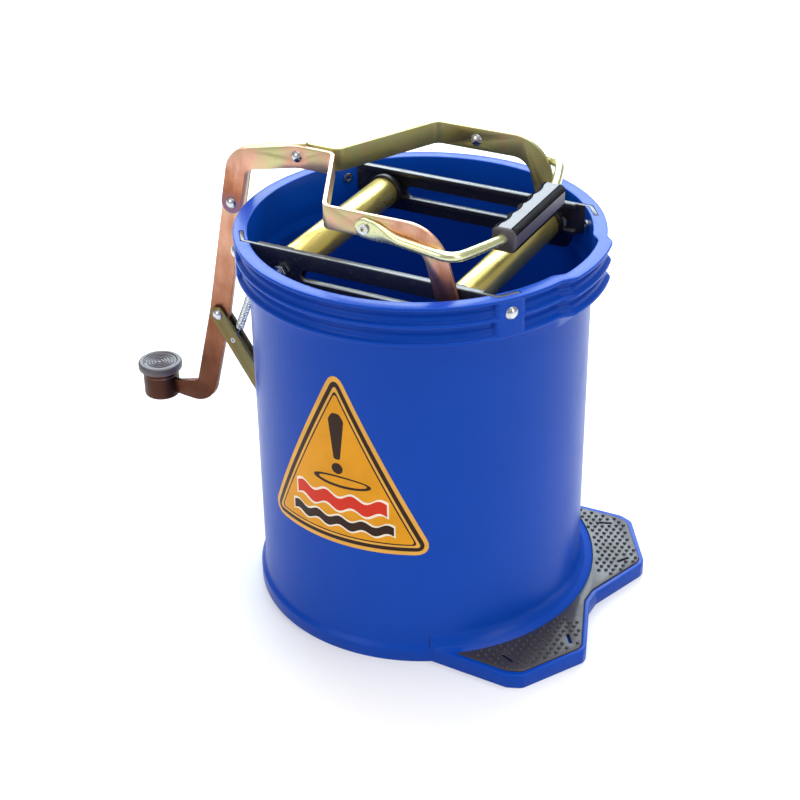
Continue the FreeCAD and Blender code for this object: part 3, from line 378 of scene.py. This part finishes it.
# ---- mesh helpers -------------------------------------------------------------------
def as_piece(bm, name, *materials, smooth_under=None):
    """A bmesh as a finished object; edges blunter than smooth_under degrees are shaded smooth."""
    mesh = bpy.data.meshes.new(name)
    if smooth_under is not None:
        for face in bm.faces:
            face.smooth = True
        for edge in bm.edges:
            edge.smooth = len(edge.link_faces) == 2 and edge.calc_face_angle(0.0) < math.radians(smooth_under)
    bm.to_mesh(mesh)
    bm.free()
    for material in materials:
        mesh.materials.append(material)
    made = bpy.data.objects.new(name, mesh)
    bpy.context.scene.collection.objects.link(made)
    return made


def belong(piece, body, slot, *replaced):
    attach(piece, body)
    if replaced:
        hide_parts(*replaced)


def softened(node, width, segments=2, least_turn=28.0, flat=0.8):
    """A CAD node's mesh, merged, with its sharp edges rounded over as pressing or moulding leaves them."""
    bm = bmesh.new()
    bm.from_mesh(nodes[node].data)
    bmesh.ops.remove_doubles(bm, verts=bm.verts, dist=2e-6)
    bmesh.ops.dissolve_limit(bm, angle_limit=math.radians(flat), verts=bm.verts, edges=bm.edges)
    sharp = [e for e in bm.edges
             if len(e.link_faces) == 2 and e.calc_face_angle(0.0) > math.radians(least_turn)]
    bmesh.ops.bevel(bm, geom=sharp, offset=width, segments=segments, profile=0.5, affect="EDGES",
                    clamp_overlap=True, material=-1)
    return bm


SOFT_EDGES = {  # node: (edge radius, body, material slot)
    "yoke_strap_front": (0.5 * MM, "pedal_yoke", "yellow_zinc"),
    "yoke_strap_rear": (0.5 * MM, "pedal_yoke", "yellow_zinc"),
    "pedal_lever": (0.6 * MM, "pedal_yoke", "yellow_zinc"),
    "link_cheek_front": (0.4 * MM, "pedal_link", "yellow_zinc"),
    "link_cheek_rear": (0.4 * MM, "pedal_link", "yellow_zinc"),
    "hinge_bracket": (0.4 * MM, "bucket_body", "yellow_zinc"),
    "side_plate_front": (0.5 * MM, "bucket_body", "black_painted_steel"),
    "side_plate_rear": (0.5 * MM, "bucket_body", "black_painted_steel"),
    "fixed_axle_nuts": (0.5 * MM, "bucket_body", "bright_steel"),
    "foot_pad": (0.5 * MM, "bucket_body", "black_rubber"),
}
for node, (width, body, slot) in SOFT_EDGES.items():
    piece = as_piece(softened(node, width), node + "_pressed", FINISHES[node], smooth_under=32)
    belong(piece, body, slot, node)


# ---- swept wire and rod -------------------------------------------------------------
def sweep(points, section, first_side):
    """Skins rings carried along points.  section(i) gives the ring's (side, up) offsets at point i."""
    bm = bmesh.new()
    rings = []
    side = first_side
    last = len(points) - 1
    for i, point in enumerate(points):
        ahead = (points[min(i + 1, last)] - points[max(i - 1, 0)]).normalized()
        side = (side - ahead * side.dot(ahead)).normalized()
        up = ahead.cross(side)
        ring = [bm.verts.new(point + side * u + up * v) for u, v in section(i)]
        rings.append([bm.edges.new((ring[k - 1], ring[k])) for k in range(len(ring))])
        if i in (0, last):
            bm.faces.new(ring)
    for before, after in zip(rings, rings[1:]):
        bmesh.ops.bridge_loops(bm, edges=before + after)
    bmesh.ops.recalc_face_normals(bm, faces=bm.faces)
    return bm


def oval(half_side, half_up, count, fullness=1.0):
    """Ring offsets: a circle or ellipse, fuller towards its corners as fullness falls under 1."""
    ring = []
    for k in range(count):
        c, n = math.cos(TURN * k / count), math.sin(TURN * k / count)
        side = math.copysign(abs(c) ** fullness, c) * half_side
        up = math.copysign(abs(n) ** fullness, n) * half_up
        ring.append((side, up))
    return ring


def eased(value, low, high):
    share = min(max((value - low) / (high - low), 0.0), 1.0)
    return share * share * (3 - 2 * share)


# ---- return spring ------------------------------------------------------------------
WIRE_R = 0.55 * MM
COIL_R = 3.45 * MM
EYE_R = 3.4 * MM
LOWER_EYE_R = 5.0 * MM
COIL_TURNS = 42
COIL_STEPS = 14


def make_spring():
    """Close-wound extension spring with a hooked eye at each end, in one wire."""
    ear_r = 4.2 * MM
    anchor_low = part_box("spring_anchor")[0]
    pin_low, pin_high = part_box("spring_pin")
    top = Vector((anchor_low.x + ear_r, 0, anchor_low.z + 8 * MM))
    pin = (pin_low + pin_high) / 2
    along = (pin - top).normalized()
    across = along.cross(Y_AXIS).normalized()
    start = top + along * (2 * EYE_R + 0.6 * MM)
    end = pin - along * (LOWER_EYE_R + 7.6 * MM)
    points = []
    for k in range(19):
        turn = math.radians(-150 + 300 * k / 18)
        points.append(top + along * EYE_R + (Y_AXIS * math.sin(turn) - along * math.cos(turn)) * EYE_R)
    count = COIL_TURNS * COIL_STEPS
    for k in range(count + 1):
        turn = TURN * (k / COIL_STEPS + 0.25)
        ring_point = across * math.cos(turn) + Y_AXIS * math.sin(turn)
        points.append(start.lerp(end, k / count) + ring_point * COIL_R)
    points.append(pin - along * (LOWER_EYE_R + 3.0 * MM) + Y_AXIS * COIL_R * 0.2)
    for k in range(21):
        turn = math.radians(12 + 330 * k / 20)
        points.append(pin + (across * math.sin(turn) - along * math.cos(turn)) * LOWER_EYE_R)
    piece = as_piece(sweep(points, lambda i: oval(WIRE_R, WIRE_R, 8), X_AXIS), "spring_wire", SPRING_STEEL,
                     smooth_under=80)
    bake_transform(piece)
    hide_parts("return_spring", "spring_lower_hook")


make_spring()


# ---- bucket: spun rim band, and the body with softened edges ------------------------
TOP_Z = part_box("side_plate_front")[1].z
JOIN_Z = TOP_Z - 47.5 * MM
BODY_R, RIM_R = 139.5 * MM, 150.0 * MM
TAB_DEGREES = 36
TAB_ANGLES = [math.radians(a) for a in (-TAB_DEGREES, TAB_DEGREES, 180 - TAB_DEGREES, 180 + TAB_DEGREES)]
RIM_STEPS = 480


def rim_profile():
    """Corners of the band's section: radius, height from the rim's top, and rounding, in millimetres."""
    bays = []
    for base in (-32.5, -17.4):
        bays += [(149.5, base, 0.6), (149.5, base + 2.5, 0.7), (146.2, base + 3.6, 1.6),
                 (145.6, base + 7.6, 0.9),
                 (143.6, base + 9.4, 0.8), (143.4, base + 13.6, 1.6)]
    outer = [(139.5, -47.5, 0), (139.5, -35.5, 2.0)] + bays
    outer += [(149.4, -2.6, 0.5), (150.0, -2.2, 0.4), (150.0, 0.0, 0.9), (138.3, 0.0, 0.9),
              (138.3, -38.0, 2.0)]
    return outer + [(136.5, -46.0, 2.0), (136.5, -47.5, 0)]


def spout_push(x, y, z, inner):
    """How far the pouring lip stands out at a point of the rim."""
    turn = abs(math.degrees(math.atan2(y, x)))
    sideways = 1.0 - eased(turn, 12.5, 18.0)
    start, end = (34, 12) if inner else (41, 33)
    upward = eased(z, TOP_Z - start * MM, TOP_Z - end * MM)
    return 5.6 * MM * sideways * upward


def pad_share(x, y):
    """1 on the plain pads round the rim rivets, 0 along the bays."""
    turn = math.atan2(y, x) % TURN
    off = min(abs((turn - a + math.pi) % TURN - math.pi) for a in TAB_ANGLES)
    return 1.0 - eased(math.degrees(off), 4.3, 5.1)


def tab_cutters():
    """Slots in the rim that take the side plates' bent tabs."""
    bm = bmesh.new()
    half, depth = 1.9 * MM, 26 * MM
    turn = math.radians(TAB_DEGREES)
    out, along = Vector((math.cos(turn), math.sin(turn), 0)), Vector((math.sin(turn), -math.cos(turn), 0))
    middle = out * 142.8 * MM
    corner = middle - along * 8.1 * MM
    end = middle + along * 10.6 * MM
    inner_start = corner - X_AXIS * 14 * MM
    bend = (out + Y_AXIS).normalized() * half / math.cos(math.radians(27))
    ring = [inner_start + Y_AXIS * half, corner + bend, end + out * half, end - out * half, corner - bend,
            inner_start - Y_AXIS * half]
    face = bm.faces.new([bm.verts.new(p + Z_AXIS * (TOP_Z - depth)) for p in ring])
    raised = bmesh.ops.extrude_face_region(bm, geom=[face])["geom"]
    bmesh.ops.translate(bm, verts=[v for v in raised if isinstance(v, bmesh.types.BMVert)],
                        vec=Z_AXIS * (depth + 2 * MM))
    for axis in (X_AXIS, Y_AXIS):
        flip = Matrix.Scale(-1, 4, axis)
        copy = bmesh.ops.duplicate(bm, geom=bm.verts[:] + bm.edges[:] + bm.faces[:])["geom"]
        bmesh.ops.transform(bm, matrix=flip, verts=[v for v in copy if isinstance(v, bmesh.types.BMVert)])
    bmesh.ops.recalc_face_normals(bm, faces=bm.faces)
    return as_piece(bm, "tab_cutters")


def applied(piece, kind, **settings):
    """Adds a modifier, keeps its result as the piece's mesh and takes the modifier off again."""
    made = piece.modifiers.new(kind.lower(), kind)
    for key, value in settings.items():
        setattr(made, key, value)
    bpy.context.view_layer.update()
    result = bpy.data.meshes.new_from_object(piece.evaluated_get(bpy.context.evaluated_depsgraph_get()))
    piece.modifiers.remove(made)
    piece.data = result


def make_rim_band():
    bm = bmesh.new()
    profile = rim_profile()
    corners = [bm.verts.new((r * MM, 0, TOP_Z + z * MM)) for r, z, _ in profile]
    for before, after in zip(corners, corners[1:]):
        bm.edges.new((before, after))
    for corner, (_, _, radius) in zip(corners, profile):
        if radius:
            bmesh.ops.bevel(bm, geom=[corner], offset=radius * MM, segments=3, profile=0.5, affect="VERTICES",
                            clamp_overlap=True, material=-1)
    bmesh.ops.spin(bm, geom=bm.verts[:] + bm.edges[:], cent=(0, 0, 0), axis=Z_AXIS, dvec=(0, 0, 0),
                   angle=TURN,
                   steps=RIM_STEPS, use_merge=True)
    bmesh.ops.remove_doubles(bm, verts=bm.verts, dist=1e-6)
    for vert in bm.verts:
        x, y, z = vert.co
        r = math.hypot(x, y)
        inner = r < BODY_R - 0.4 * MM
        wanted = r + spout_push(x, y, z, inner)
        if not inner and TOP_Z - 31 * MM < z < TOP_Z - 1.5 * MM:
            wanted += max(RIM_R - 0.35 * MM - r, 0) * pad_share(x, y)
        vert.co.x, vert.co.y = x * wanted / r, y * wanted / r
    bmesh.ops.recalc_face_normals(bm, faces=bm.faces)
    band = as_piece(bm, "bucket_rim_band", BLUE, smooth_under=50)
    cutters = tab_cutters()
    applied(band, "BOOLEAN", operation="DIFFERENCE", object=cutters, solver="EXACT")
    bpy.data.objects.remove(cutters)
    belong(band, "bucket_body", "blue_plastic", "bucket")


def make_bucket_body():
    bm = softened("bucket", 0.5 * MM, least_turn=30.0, flat=0.6)
    bmesh.ops.bisect_plane(bm, geom=bm.verts[:] + bm.edges[:] + bm.faces[:], dist=1e-6,
                           plane_co=(0, 0, JOIN_Z),
                           plane_no=(0, 0, 1), clear_outer=True)
    body = as_piece(bm, "bucket_body_shell", BLUE, smooth_under=34)
    belong(body, "bucket_body", "blue_plastic", "bucket")


make_rim_band()
make_bucket_body()


# ---- foot pad studs -----------------------------------------------------------------
def make_studs():
    """Small blunt studs in staggered rows on both lobes of the tread, none on its narrow neck."""
    pad = nodes["foot_pad"].data
    tree = BVHTree.FromPolygons([v.co for v in pad.vertices], [p.vertices for p in pad.polygons])
    low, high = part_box("foot_pad")
    pitch, margin, stud_h = 6.4 * MM, 2.6 * MM, 1.7 * MM
    neck, sunk = 36 * MM, 0.1 * MM
    bm = bmesh.new()
    rows = int((high.x - low.x) / (pitch * 0.87)) + 1
    columns = int((high.y - low.y) / pitch) + 1
    for row in range(rows):
        x = high.x - 3.2 * MM - row * pitch * 0.87
        for column in range(columns):
            y = low.y + (column + 0.5 * (row % 2)) * pitch
            if abs(y) < neck:
                continue
            around = [(0, 0), (margin, 0), (-margin, 0), (0, margin), (0, -margin)]
            hits = [tree.ray_cast(Vector((x + dx, y + dy, 1.0)), -Z_AXIS)[0] for dx, dy in around]
            if all(hit and high.z - hit.z < 0.1 * MM for hit in hits):
                centre = Vector((x, y, high.z + stud_h / 2 - sunk))
                place = Matrix.Translation(centre) @ Matrix.Rotation(0.4, 4, "Z")
                bmesh.ops.create_cone(bm, cap_ends=True, segments=8, radius1=1.9 * MM, radius2=0.95 * MM,
                                      depth=stud_h, matrix=place)
    studs = as_piece(bm, "tread_studs", RUBBER)
    belong(studs, "bucket_body", "black_rubber")


make_studs()


# ---- caution label ------------------------------------------------------------------
LABEL_TURN = math.radians(-91.2)
LABEL_R = BODY_R + 0.12 * MM
FILM_T = 0.1 * MM
SHEET_STEP = 0.06 * MM
STRIP_W, STRIPS_EACH_SIDE = 3.7 * MM, 22
MARK_LIFT, TOP_MARK_LIFT = 0.32 * MM, 0.4 * MM


def flat_shape(points, rounding=0.0):
    bm = bmesh.new()
    bm.faces.new([bm.verts.new((u * MM, 0, v * MM)) for u, v in points])
    if rounding:
        bmesh.ops.bevel(bm, geom=bm.verts[:], offset=rounding * MM, segments=6, profile=0.5,
                        affect="VERTICES",
                        clamp_overlap=True, material=-1)
    return bm


def wrap_on_wall(bm, name, lift, *materials):
    """Cuts a flat shape into narrow strips and lays it on the bucket's wall."""
    for step in range(-STRIPS_EACH_SIDE, STRIPS_EACH_SIDE + 1):
        bmesh.ops.bisect_plane(bm, geom=bm.verts[:] + bm.edges[:] + bm.faces[:],
                               plane_co=(step * STRIP_W, 0, 0),
                               plane_no=(1, 0, 0), dist=1e-7)
    for vert in bm.verts:
        turn = LABEL_TURN + vert.co.x / BODY_R
        r = LABEL_R + lift
        vert.co = Vector((r * math.cos(turn), r * math.sin(turn), vert.co.z))
    bmesh.ops.recalc_face_normals(bm, faces=bm.faces)
    middle = bm.faces[:][0]
    if middle.normal.dot(Vector((middle.calc_center_median().x, middle.calc_center_median().y, 0))) < 0:
        bmesh.ops.reverse_faces(bm, faces=bm.faces)
    piece = as_piece(bm, name, *materials, smooth_under=40)
    applied(piece, "SOLIDIFY", thickness=FILM_T, offset=0.0)
    return piece


def sign_triangle(inset):
    """The sign's outline, drawn in evenly from its edge by inset millimetres, with rounded corners."""
    half_w, foot, tip, inside_r = 80.5, 105.0, 270.0, 50.3
    corners = [(-half_w, foot), (half_w, foot), (0.0, tip)]
    middle_v, share = foot + inside_r, 1 - inset / inside_r
    points = [(u * share, middle_v + (v - middle_v) * share) for u, v in corners]
    return flat_shape(points, max(9.5 - inset, 2.2) * 1.8)


def make_label():
    layers = [("label_sheet", 0.0, LABEL_EDGE), ("label_band", 3.6, LABEL_DARK),
              ("label_gap", 7.2, LABEL_EDGE),
              ("label_line", 9.2, LABEL_DARK), ("label_field", 10.4, LABEL_ORANGE)]
    for order, (name, inset, material) in enumerate(layers):
        sheet = wrap_on_wall(sign_triangle(inset), name, order * SHEET_STEP, material)
        belong(sheet, "bucket_body", "label_film", *(["caution_label"] if order == 0 else []))


def wave(low_u, high_u, v, width, swing, waves):
    """Even ribbon that rises and falls."""
    bm = bmesh.new()
    steps = 36
    bmesh.ops.create_grid(bm, x_segments=steps, y_segments=1, size=0.5)
    for vert in bm.verts:
        share = vert.co.x + 0.5
        u = low_u + (high_u - low_u) * share
        rise = swing * math.sin(TURN * waves * share)
        vert.co = Vector((u * MM, 0, (v + vert.co.y * width + rise) * MM))
    return bm


def disc(u, v, half_u, half_v):
    bm = bmesh.new()
    bmesh.ops.create_circle(bm, cap_ends=True, segments=40, radius=1.0)
    for vert in bm.verts:
        vert.co = Vector(((u + vert.co.x * half_u) * MM, 0, (v + vert.co.y * half_v) * MM))
    return bm


def make_label_signs():
    """A generic caution mark over a puddle, with two rows of ripples."""
    bar = [(-7.0, 222), (-2.8, 186), (2.8, 186), (7.0, 222), (3.2, 228), (-3.2, 228)]
    signs = [
        ("label_mark_bar", flat_shape(bar, 1.6), MARK_LIFT, LABEL_DARK),
        ("label_mark_dot", disc(0, 177.5, 5.0, 5.0), MARK_LIFT, LABEL_DARK),
        ("label_puddle", disc(3, 165.5, 26, 5.4), MARK_LIFT, LABEL_DARK),
        ("label_puddle_light", disc(4, 166.0, 21.5, 3.4), TOP_MARK_LIFT, LABEL_ORANGE),
        ("label_ripple_border", wave(-43, 43, 146, 15.5, 2.6, 3.5), MARK_LIFT, LABEL_WHITE),
        ("label_ripple_red", wave(-41.5, 41.5, 146, 11.5, 2.6, 3.5), TOP_MARK_LIFT, LABEL_RED),
        ("label_ripple_low_border", wave(-48, 48, 126.5, 11.5, 2.0, 4.5), MARK_LIFT, LABEL_WHITE),
        ("label_ripple_black", wave(-46.8, 46.8, 126.5, 8.2, 2.0, 4.5), TOP_MARK_LIFT, LABEL_DARK),
    ]
    for name, bm, lift, material in signs:
        belong(wrap_on_wall(bm, name, lift, material), "bucket_body", "label_film")


make_label()
make_label_signs()


# ---- carrying handle ----------------------------------------------------------------
def make_bail():
    """Wire handle, flattened to an eye at each pivot and bent in towards the grip."""
    grip_low, grip_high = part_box("bail_grip")
    pivot = (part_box("handle_rivets")[0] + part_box("handle_rivets")[1]) / 2
    side_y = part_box("bail_handle")[1].y - 4.0 * MM
    rod_r, flat_half, eye_r = 4.0 * MM, 1.55 * MM, 8.0 * MM
    corner = Vector((78.5 * MM, side_y, TOP_Z + 28 * MM))
    entry = Vector((97.0 * MM, grip_high.y - 4 * MM, TOP_Z + 24.6 * MM))
    leg = corner - Vector((pivot.x, side_y, pivot.z))
    ahead = leg.normalized()
    points, sizes = [], []
    for k in range(9):
        s = -eye_r * math.cos(math.pi / 2 * k / 8)
        width = math.sqrt(max(eye_r * eye_r - s * s, 0.0)) + 0.4 * MM
        points.append(Vector((pivot.x, side_y, pivot.z)) + ahead * s)
        sizes.append((flat_half, width, 0.45))
    reach = leg.length - 11 * MM
    for k in range(1, 25):
        s = reach * k / 24
        share = eased(s, 6 * MM, 34 * MM)
        points.append(Vector((pivot.x, side_y, pivot.z)) + ahead * s)
        width = eye_r + (rod_r - eye_r) * eased(s, 4 * MM, 30 * MM)
        sizes.append((flat_half + (rod_r - flat_half) * share, width, 0.45 + 0.55 * share))
    for i, (half, _, _) in enumerate(sizes):
        points[i] -= Y_AXIS * (rod_r - half)
    start = points[-1].copy()
    turn_end = corner + (entry - corner).normalized() * 14 * MM
    for k in range(1, 11):
        t = k / 10
        points.append(start.lerp(corner, t).lerp(corner.lerp(turn_end, t), t))
    way_in = entry - Y_AXIS * 14 * MM
    for k in range(1, 9):
        t = k / 8
        points.append(turn_end.lerp(entry, t).lerp(entry.lerp(way_in, t), t))
    sizes += [(rod_r, rod_r, 1.0)] * (len(points) - len(sizes))
    half = sweep(points, lambda i: oval(*sizes[i][:2], 16, sizes[i][2]), Y_AXIS)
    bmesh.ops.mirror(half, geom=half.verts[:] + half.edges[:] + half.faces[:], axis="Y", merge_dist=0)
    bmesh.ops.recalc_face_normals(half, faces=half.faces)
    bail = as_piece(half, "handle_wire", BAIL_ZINC, smooth_under=50)
    belong(bail, "carry_handle", "yellow_zinc", "bail_handle")


def make_grip():
    """Moulded grip with finger hollows along the side that faces the bucket's middle."""
    low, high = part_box("bail_grip")
    centre, size = (low + high) / 2, high - low
    corner_r, end_r, hollow_depth = 4.4 * MM, 1.8 * MM, 3.0 * MM
    bm = bmesh.new()
    bmesh.ops.create_cube(bm, size=1.0, matrix=Matrix.Diagonal((*size, 1.0)))
    long_edges = [e for e in bm.edges if abs(e.verts[0].co.y - e.verts[1].co.y) > size.y / 2]
    bmesh.ops.bevel(bm, geom=long_edges, offset=corner_r, segments=5, profile=0.5, affect="EDGES",
                    material=-1)
    ends = [e for e in bm.edges if min(abs(v.co.y) for v in e.verts) > size.y * 0.49]
    bmesh.ops.bevel(bm, geom=ends, offset=end_r, segments=3, profile=0.5, affect="EDGES", material=-1)
    cuts = 64
    for k in range(1, cuts):
        bmesh.ops.bisect_plane(bm, geom=bm.verts[:] + bm.edges[:] + bm.faces[:], plane_no=(0, 1, 0),
                               dist=1e-7,
                               plane_co=(0, size.y * (k / cuts - 0.5), 0))
    waves, reach = 4, 0.41
    for vert in bm.verts:
        share = vert.co.y / size.y
        if abs(share) < reach:
            phase = (share + reach) / (2 * reach) * waves
            hollow = math.sin(math.pi * (phase % 1.0)) ** 0.8
            side = eased(-vert.co.x, -size.x * 0.1, size.x * 0.5)
            vert.co.x += hollow_depth * hollow * side
    bmesh.ops.translate(bm, verts=bm.verts, vec=centre)
    bmesh.ops.recalc_face_normals(bm, faces=bm.faces)
    grip = as_piece(bm, "handle_grip", GRIP_RUBBER, smooth_under=50)
    belong(grip, "carry_handle", "black_rubber", "bail_grip")


make_bail()
make_grip()


# ---- roller tubes -------------------------------------------------------------------
def make_roller(side):
    """Welded tube with a small rounded edge at each end."""
    low, high = tube_box[side]
    centre, outer, half = tube_centre[side], (high.z - low.z) / 2, (high.y - low.y) / 2
    inner, edge, nip = outer - 1.5 * MM, 0.5 * MM, 0.15 * MM
    profile = [(inner, -half), (outer - edge, -half), (outer - nip, -half + nip), (outer, -half + edge),
               (outer, half - edge), (outer - nip, half - nip), (outer - edge, half), (inner, half)]
    bm = bmesh.new()
    ring = [bm.verts.new((centre.x + r, centre.y + y, centre.z)) for r, y in profile]
    for before, after in zip(ring, ring[1:] + ring[:1]):
        bm.edges.new((before, after))
    bmesh.ops.spin(bm, geom=bm.verts[:] + bm.edges[:], cent=centre, axis=Y_AXIS, dvec=(0, 0, 0), angle=TURN,
                   steps=96, use_merge=True)
    bmesh.ops.recalc_face_normals(bm, faces=bm.faces)
    tube = as_piece(bm, side + "_roller_sleeve", TUBE_ZINC[side], smooth_under=50)
    belong(tube, side + "_roller", "yellow_zinc", side + "_roller_tube")


for roller_side in tube_box:
    make_roller(roller_side)


# ---- pedal cap ----------------------------------------------------------------------
def spun(profile, centre, name, material, steps=96, smooth_under=40):
    """A turned piece: (radius, height) points in metres, spun about an upright axis at centre."""
    bm = bmesh.new()
    ring = [bm.verts.new((centre.x + r, centre.y, z)) for r, z in profile]
    for before, after in zip(ring, ring[1:]):
        bm.edges.new((before, after))
    bmesh.ops.spin(bm, geom=bm.verts[:] + bm.edges[:], cent=(centre.x, centre.y, 0), axis=Z_AXIS,
                   dvec=(0, 0, 0),
                   angle=TURN, steps=steps, use_merge=True)
    bmesh.ops.remove_doubles(bm, verts=bm.verts, dist=1e-6)
    bmesh.ops.recalc_face_normals(bm, faces=bm.faces)
    return as_piece(bm, name, material, smooth_under=smooth_under)


def make_pedal_cap():
    """Rubber cap with a rounded rim and a spiral rib on its tread."""
    low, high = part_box("pedal_cap")
    cup_low, cup_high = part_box("pedal_cup")
    centre = (low + high) / 2
    r, top, under = (high.x - low.x) / 2, high.z, high.z - 7.4 * MM
    neck = (cup_high.x - cup_low.x) / 2
    round_r = 2.6 * MM
    profile = [(0.0, top - 1.0 * MM), (r - 5.2 * MM, top - 1.0 * MM), (r - 4.6 * MM, top - 0.3 * MM),
               (r - 4.0 * MM, top)]
    for k in range(7):
        turn = math.pi / 2 * k / 6
        profile.append((r - round_r + round_r * math.sin(turn), top - round_r + round_r * math.cos(turn)))
    profile += [(r, under + 1.2 * MM), (r - 0.4 * MM, under + 0.3 * MM), (r - 1.2 * MM, under), (0.0, under)]
    cap = spun(profile, centre, "pedal_tread_cap", CAP_RUBBER)
    belong(cap, "pedal_yoke", "black_rubber", "pedal_cap")
    collar = [(0.0, under), (neck, under), (neck, cup_high.z), (0.0, cup_high.z)]
    belong(spun(collar, centre, "pedal_collar", CUP_ZINC), "pedal_yoke", "yellow_zinc")
    turns, steps, rib_r = 4.6, 150, 0.75 * MM
    points = []
    for k in range(steps + 1):
        share = k / steps
        turn, out = TURN * turns * share, (1.4 + 12.6 * share) * MM
        points.append(Vector((centre.x + out * math.cos(turn), centre.y + out * math.sin(turn),
                              top - 0.95 * MM)))
    rib = as_piece(sweep(points, lambda i: oval(rib_r, rib_r, 8), Z_AXIS), "pedal_spiral_rib", CAP_RUBBER,
                   smooth_under=60)
    belong(rib, "pedal_yoke", "black_rubber")


make_pedal_cap()


# ---- camera, floor, lights ----------------------------------------------------------
def add_camera():
    data = bpy.data.cameras.new("camera")
    data.lens, data.sensor_width = 75.99, 36.0
    data.clip_start, data.clip_end = 0.05, 50.0
    camera = bpy.data.objects.new("camera", data)
    yaw, down, roll = math.radians(28.0), math.radians(30.55), math.radians(-0.83)
    turn = Matrix.Rotation(yaw, 4, "Z") @ Matrix.Rotation(math.pi / 2 - down, 4, "X")
    turn = turn @ Matrix.Rotation(roll, 4, "Z")
    camera.matrix_world = Matrix.Translation((0.56585, -1.10255, 0.8985)) @ turn
    bpy.context.scene.collection.objects.link(camera)
    bpy.context.scene.camera = camera


def add_floor():
    bm = bmesh.new()
    bmesh.ops.create_grid(bm, x_segments=1, y_segments=1, size=8.0)
    made, tree, shader, place = new_material("studio_floor", Specular_IOR_Level=0.2)
    tone = blend_colour(tree, noise(tree, place, 3.0), (0.86, 0.86, 0.86, 1.0), (0.9, 0.9, 0.9, 1.0))
    finish(tree, shader, tone, span(tree, noise(tree, place, 40.0), 0.3, 0.7, 0.6, 0.7))
    as_piece(bm, "floor", made)


def add_light(name, place, target, size, watts, colour=(1.0, 1.0, 1.0)):
    data = bpy.data.lights.new(name, "AREA")
    data.shape, data.size, data.size_y = "RECTANGLE", size[0], size[1]
    data.energy, data.color = watts, colour
    lamp = bpy.data.objects.new(name, data)
    lamp.location = place
    lamp.rotation_mode = "QUATERNION"
    lamp.rotation_quaternion = (Vector(target) - Vector(place)).to_track_quat("-Z", "Y")
    bpy.context.scene.collection.objects.link(lamp)


def add_studio():
    world = bpy.data.worlds.new("studio")
    bpy.context.scene.world = world
    world.use_nodes = True
    world.node_tree.nodes["Background"].inputs["Color"].default_value = (1.0, 1.0, 1.0, 1.0)
    world.node_tree.nodes["Background"].inputs["Strength"].default_value = 0.4
    add_light("top_box", (0.1, 0.2, 2.2), (0, 0, 0.2), (2.2, 1.6), 50.0)
    add_light("front_box", (-0.9, -2.2, 1.5), (0, 0, 0.2), (1.4, 1.6), 18.0)
    add_light("right_strip", (2.2, -0.5, 1.2), (0, 0, 0.2), (0.6, 1.6), 14.0)
    add_light("back_box", (-1.13, 2.13, 1.75), (0, 0, 0.3), (2.8, 1.3), 105.0, (0.78, 0.92, 1.0))


add_camera()
add_floor()
add_studio()
bpy.context.scene.view_settings.view_transform = "Standard"
